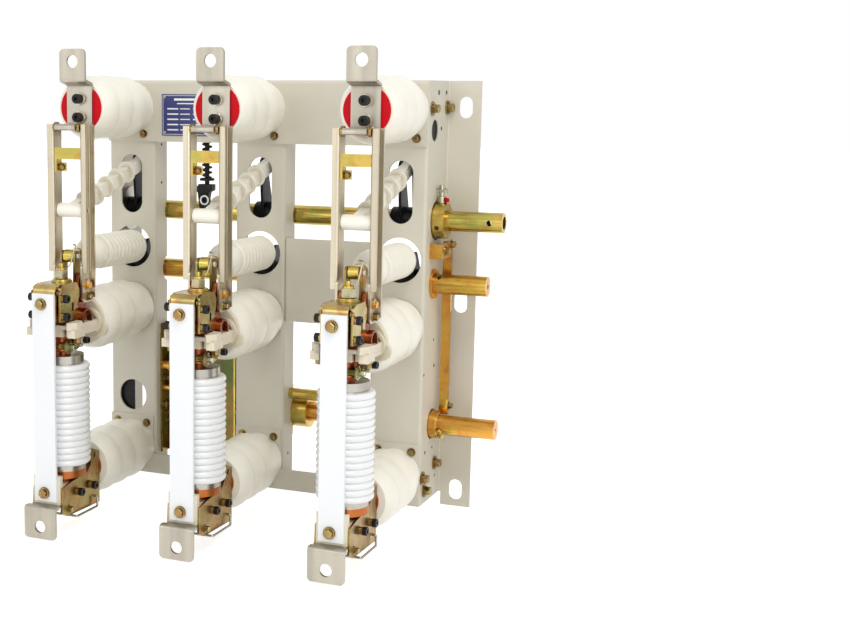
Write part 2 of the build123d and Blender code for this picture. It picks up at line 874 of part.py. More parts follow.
def contact_head():
    """Copper head: floor, two cheeks that carry the pivots and the core below."""
    cheek_in = cheek_outer - cheek_thickness
    under = yoke_top - yoke_sheet
    outline = [(head_front, head_floor_top), (head_front, under), (ear_root, under),
               (ear_front, ear_top), (ear_back, ear_top), (ear_back, ear_foot),
               (head_back, head_floor_top + head_step), (head_back, head_floor_top)]
    cheek = side_plate(outline, cheek_in, cheek_outer)
    cheek -= rod_x(blade_pin_d + 2 * running_gap, 0, 30, blade_y, blade_pivot_z)
    cheek -= rod_x(lever_pin_d + 2 * running_gap, 0, 30, lever_pivot_y, lever_pivot_z)
    head = block(-cheek_outer, cheek_outer, head_front, head_back, head_floor, head_floor_top)
    head += mirrored(cheek)
    cap_top = ceramic_top + top_ring_height
    head += rod_z(head_core_d, clamp_bottom(), head_floor, 0, pole_y)
    head += rod_z(stem_foot_d, cap_top, head_floor, 0, pole_y)
    return head + rod_z(stem_d, head_floor, stem_top, 0, pole_y)


def clamp_bottom():
    """Height of the clamp's lower edge, just above the interrupter's cap."""
    return ceramic_top + 1.5 * top_ring_height


def stem_clamp():
    """Clamp ring round the core, with the ear that takes its bolt."""
    z0 = clamp_bottom()
    z1 = z0 + clamp_height
    ring = rod_z(clamp_d, z0, z1, 0, pole_y)
    y1 = pole_y - head_core_d / 2 + 2
    y0 = y1 - lower_plate
    ear = rod_y(clamp_ear_d, y0, y1, clamp_ear_x, clamp_ear_z)
    ear += block(0, clamp_ear_x, y0, y1, z0 + 1, z1)
    return ring + ear - rod_z(head_core_d, z0 - clamp_ear_d, z1 + clamp_ear_d, 0, pole_y)


def flexible_strap():
    """Copper arch beside the head, between its side flange and the cradle."""
    x0 = cheek_outer + side_sheet
    x1 = x0 + strap_arch_width
    inner_d = strap_arch_d - 2 * strap_thickness
    arch = ring_x(strap_arch_d, inner_d, x0, x1, strap_arch_y, strap_arch_z)
    arch -= block(x0 - 1, x1 + 1, strap_arch_y - strap_arch_d, strap_arch_y + strap_arch_d,
                  strap_arch_z - strap_arch_d, strap_arch_z)
    for side in (-1, 1):
        y0, y1 = sorted((strap_arch_y + side * inner_d / 2, strap_arch_y + side * strap_arch_d / 2))
        arch += block(x0, x1, y0, y1, cradle_top, strap_arch_z)
    return [arch, mirror(arch, Plane.YZ)]


def middle_support():
    """Cast cradle that holds the head on the middle insulator."""
    bottom = cradle_top - cradle_height
    back = -insulator_length - support_disc_thickness
    end_inner = cradle_half_width - cradle_end_width
    cradle = block(-end_inner, end_inner, cradle_front, cradle_shoulder, bottom, cradle_top)
    cradle += block(-cradle_waist_half, cradle_waist_half, cradle_shoulder - 1, back, bottom, cradle_top)
    notch = block(end_inner - cradle_notch, end_inner, cradle_front - 1, cradle_opening_front,
                  bottom - 1, cradle_end_split)
    end = block(end_inner, cradle_half_width, cradle_end_front, cradle_shoulder, bottom, cradle_end_split)
    middle = (cradle_pad_front + cradle_shoulder) / 2
    cut = cradle_pad_chamfer
    pad = [(end_inner - 1, cradle_shoulder), (end_inner - 1, cradle_pad_front + cut),
           (end_inner - 1 + cut, cradle_pad_front), (cradle_half_width, middle - cut),
           (cradle_half_width, middle + cradle_pad_back),
           (cradle_half_width - cradle_pad_heel, cradle_shoulder)]
    pad_solid = extrude(make_face(Polyline(*pad, close=True)), cradle_pad_top - cradle_end_split)
    end += Pos(0, 0, cradle_end_split) * pad_solid
    cradle = cradle - mirrored(notch) + mirrored(end)
    cradle -= block(-cradle_opening_half, cradle_opening_half, cradle_opening_front,
                    cradle_opening_back, bottom - 1, cradle_top + 1)
    disc = rod_y(support_disc_d, back, -insulator_length, 0, middle_insulator_z)
    ear = rod_y(support_ear_d, back, -insulator_length, support_ear_x, support_ear_z)
    front = back - support_rib_depth
    rib = rod_y(support_rib_d, front, back, support_rib_x, middle_insulator_z)
    rib -= rod_y(support_rib_d - 2 * bar, front - 1, back + 1, support_rib_x, middle_insulator_z)
    rib -= block(-support_rib_d, support_rib_x, front - 1, back + 1, -support_rib_d * 2, support_rib_d)
    return cradle + disc + mirrored(ear + rib)


# Vacuum interrupters
def ceramic_body():
    """White tube with rounded ribs."""
    pitch = (ceramic_top - ceramic_bottom) / ceramic_ribs
    root = ceramic_d / 2
    outline = [Line((0, ceramic_bottom), (root, ceramic_bottom))]
    for k in range(ceramic_ribs):
        low = ceramic_bottom + k * pitch
        crest = (ceramic_rib_d / 2, low + pitch / 2)
        outline.append(ThreePointArc((root, low), crest, (root, low + pitch)))
    outline += Polyline((root, ceramic_top), (0, ceramic_top), (0, ceramic_bottom)).edges()
    return Pos(0, pole_y, 0) * revolve(Plane.XZ * make_face(outline), Axis.Z)


def end_rings():
    """Steel end caps above and below the ceramic."""
    top = rod_z(top_ring_d, ceramic_top, ceramic_top + top_ring_height, 0, pole_y)
    low = rod_z(low_ring_d, ceramic_bottom - low_ring_height, ceramic_bottom, 0, pole_y)
    return [top, low]


def copper_band():
    """Fixed contact disc under the interrupter."""
    band = rod_z(copper_band_d, copper_band_bottom, ceramic_bottom - low_ring_height, 0, pole_y)
    return band + rod_z(copper_neck_d, lower_block_top, copper_band_bottom, 0, pole_y)


# Lower contacts
def lower_block():
    """Cast block that carries the interrupter on the lower insulator."""
    back = -insulator_length - face_disc_thickness
    half = lower_block_half
    body = block(-half, half, lower_block_front, back, lower_block_bottom, lower_block_top)
    wall_back = lower_block_front + lower_wall
    return body + block(-half, half, lower_block_front, wall_back, lower_block_top, lower_wall_top)


def lower_side_plates():
    """Zinc plated cheeks on both sides of the lower block."""
    back = -insulator_length - face_disc_thickness
    outline = [(back, plate_ear_back), (plate_ear_front, plate_ear_top),
               (plate_ear_front - 2, plate_ear_foot), (plate_knee, plate_knee_z),
               (plate_step, plate_step_z), (lower_block_front + lower_plate, plate_front_top),
               (lower_block_front, plate_toe_z), (plate_heel, plate_bottom),
               (back, plate_bottom - 2)]
    x0 = lower_block_half
    x1 = x0 + lower_plate
    plate = side_plate(outline, x0, x1, plate_corner)
    hole = [(plate_hole_y, plate_hole_z + 2, plate_hole_d),
            (plate_hole_y - 1, plate_hole_z - 2, plate_hole_d)]
    plate -= lever_arm(hole, x0 - 1, x1 + 1)
    return [plate, mirror(plate, Plane.YZ)]


def lower_terminal():
    """Angle bar under the lower block with the lug at its front."""
    front = -lower_lug_front + bar / 2
    half = lower_lug_width / 2
    level = lower_block_bottom - bar / 2
    points = [(front, lower_lug_bottom), (front, level), (lower_lug_back, level)]
    body = across(points, bar, 2 * bar / 3, -half, half)
    for side in (-1, 1):
        x0, x1 = sorted((side * lower_block_half, side * (half + 1)))
        body -= block(x0, x1, 3 * bar - lower_lug_front, lower_lug_back + 1, level - bar,
                      level + bar)
    y0 = -lower_lug_front - 1
    y1 = -lower_lug_front + bar + 1
    body -= corner_cuts(half, lower_lug_bottom, -1, lower_lug_corner, y0, y1)
    return body - rod_y(lower_lug_hole_d, y0, y1, 0, lower_lug_hole_z)


def tie_strip():
    """White insulating strip that ties the head to the lower block."""
    half = tie_width / 2
    return block(-half, half, -yoke_front - tie_thickness, -yoke_front, tie_bottom, tie_top)


def wire_bail():
    """Bent wire loop under the lower contact."""
    x = bail_half
    inner = lower_block_half + lower_plate
    right = [(inner, bail_back, bail_anchor_z), (x, bail_back, bail_anchor_z),
             (x, bail_back, bail_z), (x, bail_front, bail_z)]
    points = right + [(-px, py, pz) for px, py, pz in reversed(right)]
    path = FilletPolyline(*points, radius=bail_wire_d * 0.8)
    section = Plane(origin=path @ 0, z_dir=path % 0) * Circle(bail_wire_d / 2)
    return sweep(section, path)


# Mechanism
def mechanism_housing():
    """Zinc plated housing between the left and middle posts, behind the posts' returns."""
    half = sheet / 2
    x0 = -outer_post_half_x + half
    x1 = -post_half - half
    back = web_back + post_return + half
    points = [(x0, housing_front), (x0, back), (x1, back), (x1, housing_front)]
    return upright(points, sheet, bend, housing_bottom, housing_top)


def mechanism_bearing():
    """Bearing hub behind the middle post that carries the operating shaft."""
    back = web_back + post_return
    low = bearing_plate_bottom
    top = bearing_plate_top
    y = operating_shaft_y
    z = operating_shaft_z
    plate = block(-post_half, post_half, back, back + sheet, low, top)
    hub = rod_x(shaft_d + 2 * bearing_wall, bearing_hub_start, bearing_hub_end, y, z)
    hub -= block(bearing_hub_start - 1, post_half, 0, back + sheet, low, top)
    hub -= rod_x(shaft_d + 2 * running_gap, operating_shaft_start - 1, bearing_hub_end + 1, y, z)
    hub -= block(post_half, bearing_hub_end + 1, 0, y - shaft_d / 2 - bearing_wall + 1, low, top)
    return plate + hub


def spring_guide():
    """Guide rod and coil spring under the top beam."""
    top = frame_top - sheet
    y = top_beam_return - spring_setback
    cup_z = top - spring_cup_drop
    rod = rod_z(spring_rod_d, spring_lever_top, top, spring_x, y)
    cup = rod_z(spring_coil_d + 6, cup_z, cup_z + spring_cup, spring_x, y)
    coil = rod_z(spring_coil_d, spring_bottom, cup_z, spring_x, y)
    return rod + cup + coil


def spring_lever():
    """Black lever block under the spring, with the round eye in front of it."""
    y0 = spring_lever_front
    y1 = spring_lever_back
    low = spring_lever_bottom
    left = spring_x - spring_lever_left
    body = block(left, spring_x + spring_lever_right, y0, y1, low, spring_lever_top)
    step = block(left - 1, left + spring_lever_left / 2, y0 - 1, y1 + 1,
                 spring_lever_top - spring_lever_step, spring_lever_top + 1)
    return body - step + rod_y(spring_coil_d, y0 - 4, y0, spring_x, low + spring_coil_d / 2)


def interlock_bar():
    """Flat bar beside the side plate, hung from an angle bracket."""
    x1 = interlock_x + interlock_width
    y1 = interlock_y + interlock_thickness
    low = interlock_top - bracket_height
    hanger = block(interlock_x, x1, interlock_y, y1, interlock_bottom, interlock_top)
    side = block(x1 - sheet, x1, bracket_front, y1, low, interlock_top)
    face = block(frame_half_width, x1, bracket_front, bracket_front + sheet, low, interlock_top)
    return hanger + side + face


def stay_tube():
    """Spacer tube between the middle and right posts."""
    return rod_x(stay_tube_d, post_half, outer_post_half_x, stay_tube_y, stay_tube_z)


def rear_strip():
    """Flat strip that ties the posts together near the bottom."""
    return block(post_half, outer_post_half_x, rear_strip_front, rear_strip_back, rear_strip_z - sheet / 2,
                 rear_strip_z + sheet / 2)


def build():
    os.makedirs("parts", exist_ok=True)
    save("post_left", left_post())
    save("post_middle", middle_post())
    save("post_right", outer_post())
    save("top_beam", top_beam())
    save("bottom_beam", bottom_beam())
    save("cover_plate", cover())
    save("name_plate", name_plate())
    insulator = post_insulator()
    for name, z in (("upper", upper_insulator_z), ("middle", middle_insulator_z),
                    ("lower", lower_insulator_z)):
        save(name + "_insulators", *at_poles(Pos(0, 0, z) * insulator))
    save("upper_face_discs", *at_poles(face_disc(face_disc_d, upper_insulator_z)))
    save("lower_face_discs", *at_poles(face_disc(lower_disc_d, lower_insulator_z)))
    save("upper_terminals", *at_poles(upper_terminal()))
    save("middle_supports", *at_poles(middle_support()))
    save("head_yokes", *at_poles(yoke()))
    save("contact_heads", *at_poles(contact_head()))
    save("stem_clamps", *at_poles(stem_clamp()))
    straps = flexible_strap()
    save("flexible_straps", *at_poles(straps[0]), *at_poles(straps[1]))
    save("interrupter_ceramics", *at_poles(ceramic_body()))
    rings = end_rings()
    save("interrupter_rings", *at_poles(rings[0]), *at_poles(rings[1]))
    save("copper_bands", *at_poles(copper_band()))
    save("lower_blocks", *at_poles(lower_block()))
    plates = lower_side_plates()
    save("lower_side_plates", *at_poles(plates[0]), *at_poles(plates[1]))
    save("lower_terminals", *at_poles(lower_terminal()))
    save("tie_strips", *at_poles(tie_strip()))
    save("wire_bails", *at_poles(wire_bail()))
    save("mechanism_housing", mechanism_housing())
    save("mechanism_bearing", mechanism_bearing())
    save("spring_guide", spring_guide())
    save("spring_lever", spring_lever())
    save("interlock_bar", interlock_bar())
    save("stay_tube", stay_tube())
    save("rear_strip", rear_strip())
    save("shaft_bearings", *shaft_bearings())

    save("isolator_shaft", isolator_shaft())
    pin_y, pin_z = crank_pin()
    isolator_cranks = crank_pair(crank_gap, crank_plate, crank_hub_d, crank_end_d, crank_slack,
                                 isolator_shaft_y, isolator_shaft_z, pin_y, pin_z, crank_pin_d)
    save("isolator_cranks", *[Pos(x, 0, 0) * arm for x in phases for arm in isolator_cranks])
    save("drive_shaft", drive_shaft())
    pin_y, pin_z = drive_pin()
    drive_cranks = crank_pair(drive_crank_gap, drive_crank_plate, drive_hub_d, crank_end_d, 0,
                              drive_shaft_y, drive_shaft_z, pin_y, pin_z, drive_pin_d)
    drive_pin_half = drive_crank_gap / 2 + drive_crank_plate
    pin = rod_x(drive_pin_d, -drive_pin_half, drive_pin_half, pin_y, pin_z)
    fork = drive_cranks[0] + drive_cranks[1] + pin
    save("drive_cranks", *at_poles(fork))
    save("operating_shaft", operating_shaft())
    blades = blade_pair()
    strap = blade_strap()
    rod = pull_rod()
    link = drive_link()
    lever = head_lever()
    for pole, x in zip(poles, phases):
        save("blade_" + pole, *[Pos(x, 0, 0) * piece for piece in blades])
        save("blade_strap_" + pole, *[Pos(x, 0, 0) * piece for piece in strap])
        save("pull_rod_" + pole, Pos(x, 0, 0) * rod)
        save("drive_link_" + pole, Pos(x, 0, 0) * link)
        save("head_lever_" + pole, Pos(x, 0, 0) * lever)


build()
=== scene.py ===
"""Dresses the solid model of a three-pole vacuum load break switch with its finishes and small parts."""

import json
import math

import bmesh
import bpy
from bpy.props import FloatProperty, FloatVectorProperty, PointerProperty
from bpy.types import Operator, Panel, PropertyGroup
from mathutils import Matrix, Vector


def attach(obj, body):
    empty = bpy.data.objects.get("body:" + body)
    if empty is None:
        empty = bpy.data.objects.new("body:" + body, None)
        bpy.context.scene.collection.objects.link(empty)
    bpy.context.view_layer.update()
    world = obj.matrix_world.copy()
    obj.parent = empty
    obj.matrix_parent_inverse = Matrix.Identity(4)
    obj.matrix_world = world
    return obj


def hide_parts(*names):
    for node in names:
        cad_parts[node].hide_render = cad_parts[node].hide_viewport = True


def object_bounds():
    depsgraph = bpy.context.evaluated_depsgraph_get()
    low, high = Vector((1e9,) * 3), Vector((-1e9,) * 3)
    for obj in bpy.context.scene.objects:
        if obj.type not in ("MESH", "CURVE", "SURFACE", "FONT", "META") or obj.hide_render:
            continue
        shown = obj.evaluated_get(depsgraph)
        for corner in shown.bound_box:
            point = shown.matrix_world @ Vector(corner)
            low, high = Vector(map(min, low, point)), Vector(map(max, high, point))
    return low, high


bl_info = {
    "name": "Vacuum Load Break Switch",
    "version": (1, 0, 0),
    "blender": (4, 5, 0),
    "location": "3D View > Sidebar > Switch",
    "description": "Finishes, screws and small parts of a three-pole vacuum load break switch",
    "category": "Object",
}

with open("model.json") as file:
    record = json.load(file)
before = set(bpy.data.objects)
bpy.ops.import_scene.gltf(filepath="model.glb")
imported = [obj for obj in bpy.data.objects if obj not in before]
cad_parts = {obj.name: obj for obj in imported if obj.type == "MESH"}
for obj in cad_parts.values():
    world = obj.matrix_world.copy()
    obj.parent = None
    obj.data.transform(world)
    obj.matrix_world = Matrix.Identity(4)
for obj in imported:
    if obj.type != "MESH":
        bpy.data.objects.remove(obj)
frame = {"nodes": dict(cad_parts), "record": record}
SOLID_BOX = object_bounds()

MM = 0.001
POLES = {"a": -210.0, "b": 0.0, "c": 210.0}
FRONT = (0.0, -1.0, 0.0)
BACK = (0.0, 1.0, 0.0)
RIGHT = (1.0, 0.0, 0.0)
LEFT = (-1.0, 0.0, 0.0)
UP = (0.0, 0.0, 1.0)
DOWN = (0.0, 0.0, -1.0)
SIDES = ((1.0, RIGHT), (-1.0, LEFT))

# In millimetres: the side plates' outer faces, the three shafts' axes as y and z, the bore of a part that
# sits round a shaft, and the front of the white strips.
SIDE_PLATE = 247.0
ISOLATOR_AXIS = (52.0, 120.0)
DRIVE_AXIS = (45.0, 32.0)
OPERATING_AXIS = (54.0, -171.0)
BORE = 14.1
STRIP_FRONT = -250.0

LAMP_TINT = (1.0, 0.985, 0.96)
WHITE = (1.0, 1.0, 1.0, 1.0)


def spot(x, y, z):
    """A point in metres, from millimetres right of the middle pole, behind the frame's front and above
    the middle fixing slots."""
    return Vector(((x - 272.5) * MM, (y - 100.0) * MM, (z + 138.0) * MM))


def at(aim, turn, size, *places):
    """Screws at places in millimetres that share their aim, turn and size."""
    return [(spot(*place), aim, turn, size) for place in places]


def both_sides(x, half, y, z, turn=0.0, size=1.0):
    """Two screws in millimetres, at half their distance either side of x, that aim outwards."""
    return [(spot(x + side * half, y, z), aim, turn, size) for side, aim in SIDES]


# Settings


def length_setting(name, description, default):
    """A length in metres for the sidebar."""
    return FloatProperty(name=name, description=description, default=default, unit="LENGTH")


def colour_setting(name, description, default):
    """A colour for the sidebar."""
    return FloatVectorProperty(name=name, description=description, default=default, size=3,
                               subtype="COLOR", min=0.0, max=1.0)


class SwitchSizes(PropertyGroup):
    """Sizes of the screws and small parts."""

    screw_width: length_setting("Screw width", "Across the corners of a frame screw's head", 0.0116)
    screw_height: length_setting("Screw height", "Height of a frame screw's head", 0.0052)
    washer_radius: length_setting("Washer radius", "Radius of the washer under a frame screw", 0.0088)
    cap_radius: length_setting("Cap screw radius", "Radius of a terminal cap screw's head", 0.0068)
    cap_height: length_setting("Cap screw height", "Height of a terminal cap screw's head", 0.008)


class SwitchColours(PropertyGroup):
    """Colours of the finishes."""

    paint: colour_setting("Frame paint", "Warm grey powder coat of the steel frame", (0.63, 0.60, 0.51))
    ivory: colour_setting("Ivory resin", "Cast resin of the insulators and rods", (0.88, 0.86, 0.77))
    porcelain: colour_setting("Porcelain", "Glazed white of the interrupters", (0.83, 0.85, 0.87))
    red: colour_setting("Red disc", "Enamel of the discs behind the upper terminals", (0.55, 0.0, 0.008))
    champagne: colour_setting("Silver plate", "Warm silver plating of the blades", (0.56, 0.50, 0.385))
    brass: colour_setting("Yellow plating", "Yellow passivated zinc", (0.58, 0.42, 0.10))
    amber: colour_setting("Amber plating", "Amber passivated zinc of the drive shafts", (0.66, 0.34, 0.065))
    copper: colour_setting("Copper", "Bare copper of the current path", (0.40, 0.125, 0.035))


# Node helpers


def set_or_link(tree, socket, value):
    """Links an input to a socket, or sets it to a value."""
    if isinstance(value, bpy.types.NodeSocket):
        tree.links.new(value, socket)
    else:
        socket.default_value = value


def feed(tree, node, **values):
    """Sets or links a node's inputs by name."""
    for label, value in values.items():
        set_or_link(tree, node.inputs[label.replace("_", " ")], value)
    return node


def add(tree, kind, **values):
    """A new node with its inputs set or linked."""
    return feed(tree, tree.nodes.new(kind), **values)


def math_node(tree, operation, first, second):
    """A math node whose two inputs are sockets or numbers."""
    node = tree.nodes.new("ShaderNodeMath")
    node.operation = operation
    for slot, value in enumerate((first, second)):
        set_or_link(tree, node.inputs[slot], value)
    return node.outputs[0]


def times(tree, first, second):
    """The product of two sockets or numbers."""
    return math_node(tree, "MULTIPLY", first, second)


def plus(tree, first, second):
    """The sum of two sockets or numbers."""
    return math_node(tree, "ADD", first, second)


def noise(tree, vector, scale, detail, roughness=0.5):
    """The strength of a noise fed by a vector socket and a scale socket or number."""
    node = add(tree, "ShaderNodeTexNoise", Vector=vector, Scale=scale, Detail=detail, Roughness=roughness)
    return node.outputs["Fac"]


def span(tree, value, low, high, out_low=0.0, out_high=1.0):
    """A value mapped from one span to another, clamped."""
    node = add(tree, "ShaderNodeMapRange", Value=value, From_Min=low, From_Max=high, To_Min=out_low,
               To_Max=out_high)
    return node.outputs["Result"]


def colour_mix(tree, factor, first, second):
    """Two colours mixed by a factor socket."""
    node = tree.nodes.new("ShaderNodeMix")
    node.data_type = "RGBA"
    tree.links.new(factor, node.inputs["Factor"])
    for label, value in (("A", first), ("B", second)):
        socket = [s for s in node.inputs if s.name == label and s.type == "RGBA"][0]
        set_or_link(tree, socket, value)
    return [s for s in node.outputs if s.type == "RGBA"][0]


BUILT_TREES = {}


def built(maker):
    """The node group of a maker, built the first time that it is asked for."""
    if maker not in BUILT_TREES:
        BUILT_TREES[maker] = maker()
    return BUILT_TREES[maker]


def new_inputs(tree, inputs):
    """Named inputs, their kind read from the default: number, vector, colour, or none for a material."""
    for label, default in inputs.items():
        if default is None:
            kind = "Material"
        elif isinstance(default, float):
            kind = "Float"
        else:
            kind = "Vector" if len(default) == 3 else "Color"
        socket = tree.interface.new_socket(label, in_out="INPUT", socket_type="NodeSocket" + kind)
        if default is not None:
            socket.default_value = default


def empty_tree(owner):
    """The node tree of a material or world, emptied."""
    owner.use_nodes = True
    owner.node_tree.nodes.clear()
    return owner.node_tree


# Shader groups


def group_start(name, inputs, *outputs):
    """A shader group fed by a vector, with its named inputs and outputs."""
    group = bpy.data.node_groups.new(name, "ShaderNodeTree")
    group.interface.new_socket("Vector", in_out="INPUT", socket_type="NodeSocketVector")
    new_inputs(group, inputs)
    for label in outputs:
        kind = "NodeSocketColor" if label == "Colour" else "NodeSocketFloat"
        group.interface.new_socket(label, in_out="OUTPUT", socket_type=kind)
    return group, group.nodes.new("NodeGroupInput").outputs, group.nodes.new("NodeGroupOutput")


def grain():
    """Fine even grain, as powder coat, castings and resin have."""
    group, given, result = group_start("grain", {"Scale": 900.0, "Patch Scale": 14.0}, "Height", "Patches")
    broad = noise(group, given["Vector"], given["Patch Scale"], 4.0, 0.55)
    feed(group, result, Height=noise(group, given["Vector"], given["Scale"], 3.0),
         Patches=span(group, broad, 0.35, 0.68))
    return group


def worn_edges():
    """Worn edges: where the surface turns sharply, broken up by noise."""
    group, given, result = group_start("worn_edges", {"Radius": 0.0009, "Scale": 160.0}, "Mask")
    rounded = add(group, "ShaderNodeBevel", Radius=given["Radius"])
    rounded.samples = 4
    flat = group.nodes.new("ShaderNodeNewGeometry")
    turn = group.nodes.new("ShaderNodeVectorMath")
    turn.operation = "DOT_PRODUCT"
    group.links.new(rounded.outputs["Normal"], turn.inputs[0])
    group.links.new(flat.outputs["Normal"], turn.inputs[1])
    edge = span(group, turn.outputs["Value"], 0.985, 0.86)
    patchy = span(group, noise(group, given["Vector"], given["Scale"], 3.0, 0.6), 0.42, 0.6, 0.25)
    feed(group, result, Mask=times(group, edge, patchy))
    return group


def groove_shade():
    """Painted shade in hollows and inner corners: darker where little light comes, found by ambient
    occlusion.
    """
    group, given, result = group_start("groove_shade", {"Reach": 0.01, "Amount": 1.0}, "Mask")
    hollow = add(group, "ShaderNodeAmbientOcclusion", Distance=given["Reach"])
    hollow.samples = 6
    hollow.only_local = True
    depth = span(group, hollow.outputs["AO"], 0.97, 0.62)
    uneven = span(group, noise(group, given["Vector"], 90.0, 2.0), 0.3, 0.7, 0.8)
    feed(group, result, Mask=times(group, times(group, depth, uneven), given["Amount"]))
    return group


def drawn_lines():
    """Fine lines along one direction, as rolled bars and ground shafts have."""
    group, given, result = group_start("drawn_lines", {"Along": (1.0, 1.0, 0.02), "Scale": 700.0}, "Height",
                                       "Streaks")
    stretch = group.nodes.new("ShaderNodeVectorMath")
    stretch.operation = "MULTIPLY"
    group.links.new(given["Vector"], stretch.inputs[0])
    group.links.new(given["Along"], stretch.inputs[1])
    wide = noise(group, stretch.outputs[0], times(group, given["Scale"], 0.09), 3.0)
    feed(group, result, Height=noise(group, stretch.outputs[0], given["Scale"], 4.0, 0.6),
         Streaks=span(group, wide, 0.36, 0.64))
    return group


def plating_tints():
    """Passivated plating, whose colour drifts between three tints."""
    group, given, result = group_start(
        "plating_tints", {"Scale": 26.0, "Base": (0.8, 0.6, 0.2, 1.0), "Green": (0.6, 0.62, 0.25, 1.0),
                          "Rose": (0.8, 0.45, 0.3, 1.0)}, "Colour")
    one = noise(group, given["Vector"], given["Scale"], 2.0)
    two = noise(group, given["Vector"], times(group, given["Scale"], 2.3), 3.0, 0.55)
    greenish = span(group, one, 0.46, 0.66, 0.0, 0.85)
    rosy = span(group, two, 0.5, 0.7, 0.0, 0.8)
    first = colour_mix(group, greenish, given["Base"], given["Green"])
    feed(group, result, Colour=colour_mix(group, rosy, first, given["Rose"]))
    return group


def handling_marks():
    """Handling marks: soft darker smudges and small specks."""
    group, given, result = group_start("handling_marks", {"Scale": 30.0, "Amount": 0.2}, "Mask")
    smudge = span(group, noise(group, given["Vector"], given["Scale"], 6.0, 0.65), 0.5, 0.75)
    specks = noise(group, given["Vector"], times(group, given["Scale"], 14.0), 2.0)
    both = math_node(group, "MAXIMUM", smudge, span(group, specks, 0.68, 0.74, 0.0, 0.6))
    feed(group, result, Mask=times(group, both, given["Amount"]))
    return group


# Finishes

FINISHES = {}

# Solids that show another finish than that of their slot.
OWN_FINISHES = {"lower_side_plates": "bronze", "contact_heads": "head_copper",
                "flexible_straps": "head_copper", "head_yokes": "yoke_zinc",
                "mechanism_housing": "housing_zinc", "upper_terminals": "lug_plate",
                "lower_terminals": "lug_plate",
                **{"head_lever_" + pole: "bronze" for pole in POLES}}


def opaque(colour, share=1.0):
    """A colour with its alpha, darkened or lightened by a share."""
    return (*(min(1.0, part * share) for part in colour), 1.0)


def new_finish(name, metallic, roughness, specular=0.5, coat=0.0):
    """A finish with its shader and object coordinates."""
    FINISHES[name] = bpy.data.materials.new(name)
    tree = empty_tree(FINISHES[name])
    shader = add(tree, "ShaderNodeBsdfPrincipled", Metallic=metallic, Roughness=roughness,
                 Specular_IOR_Level=specular, Coat_Weight=coat, Coat_Roughness=0.1)
    add(tree, "ShaderNodeOutputMaterial", Surface=shader.outputs["BSDF"])
    return tree, shader, tree.nodes.new("ShaderNodeTexCoord").outputs["Object"]


def effect(tree, maker, vector, **values):
    """The outputs of an effect group placed in a material with its own values."""
    node = tree.nodes.new("ShaderNodeGroup")
    node.node_tree = built(maker)
    return feed(tree, node, Vector=vector, **values).outputs


def marked(tree, vector, tone, scale, amount, dark):
    """A colour with handling marks."""
    marks = effect(tree, handling_marks, vector, Scale=scale, Amount=amount)
    return colour_mix(tree, marks["Mask"], tone, dark)


def rubbed(tree, vector, tone, radius, amount, bare):
    """A colour rubbed bare at the edges."""
    edges = effect(tree, worn_edges, vector, Radius=radius)
    return colour_mix(tree, times(tree, edges["Mask"], amount), tone, bare)


def painted_groove_shade(tree, vector, tone, reach, amount, shade_tone):
    """A colour with painted shade mixed into its hollows and inner corners."""
    shade = effect(tree, groove_shade, vector, Reach=reach, Amount=amount)
    return colour_mix(tree, shade["Mask"], tone, shade_tone)


def surface(tree, shader, tone, roughness, height, strength, distance):
    """Feeds the shader's colour, roughness and bump."""
    bump = add(tree, "ShaderNodeBump", Strength=strength, Distance=distance, Height=height)
    feed(tree, shader, Base_Color=tone, Roughness=roughness, Normal=bump.outputs["Normal"])


def coated_finish(name, colour, roughness, fineness, strength, patch, coat=0.0, specular=0.5, marks=0.0,
                  wear=0.0, groove_shade_share=0.0, reach=0.0):
    """Paint, resin, glaze or plastic: a colour with faint patches, fine grain, marks and rubbed edges, and
    painted shade in its hollows and inner corners.
    """
    tree, shader, vector = new_finish(name, 0.0, roughness, specular, coat)
    texture = effect(tree, grain, vector, Scale=fineness, Patch_Scale=11.0)
    patches = texture["Patches"]
    tone = colour_mix(tree, patches, opaque(colour, 1.0 - patch), opaque(colour, 1.0 + patch * 0.6))
    if marks:
        tone = marked(tree, vector, tone, 26.0, marks, opaque(colour, 0.55))
    if wear:
        tone = rubbed(tree, vector, tone, 0.0008, wear, (0.80, 0.78, 0.72, 1.0))
    # Painted shade: the colour darkens in hollows and inner corners, by ambient occlusion.
    if groove_shade_share:
        tone = painted_groove_shade(tree, vector, tone, reach, groove_shade_share,
                       (colour[0] * 0.62, colour[1] * 0.56, colour[2] * 0.42, 1.0))
    surface(tree, shader, tone, span(tree, patches, 0.0, 1.0, roughness * 0.88, roughness * 1.12),
            texture["Height"], strength, 0.0004)


def plated_finish(name, colour, green, rose, roughness, along=(1.0, 1.0, 1.0), scale=26.0):
    """Passivated zinc: tints that drift over the piece, with faint lines along its length, and painted shade
    in its hollows.
    """
    tree, shader, vector = new_finish(name, 1.0, roughness)
    tints = effect(tree, plating_tints, vector, Scale=scale, Base=opaque(colour), Green=opaque(green),
                   Rose=opaque(rose))
    lines = effect(tree, drawn_lines, vector, Along=along, Scale=520.0)
    tone = marked(tree, vector, tints["Colour"], 44.0, 0.35, opaque(colour, 0.42))
    tone = rubbed(tree, vector, tone, 0.0007, 0.5, (0.86, 0.80, 0.62, 1.0))
    # Painted shade in hollows and inner corners.
    tone = painted_groove_shade(tree, vector, tone, 0.005, 0.5, opaque(colour, 0.25))
    surface(tree, shader, tone, span(tree, lines["Streaks"], 0.0, 1.0, roughness * 0.75, roughness * 1.35),
            lines["Height"], 0.12, 0.0003)


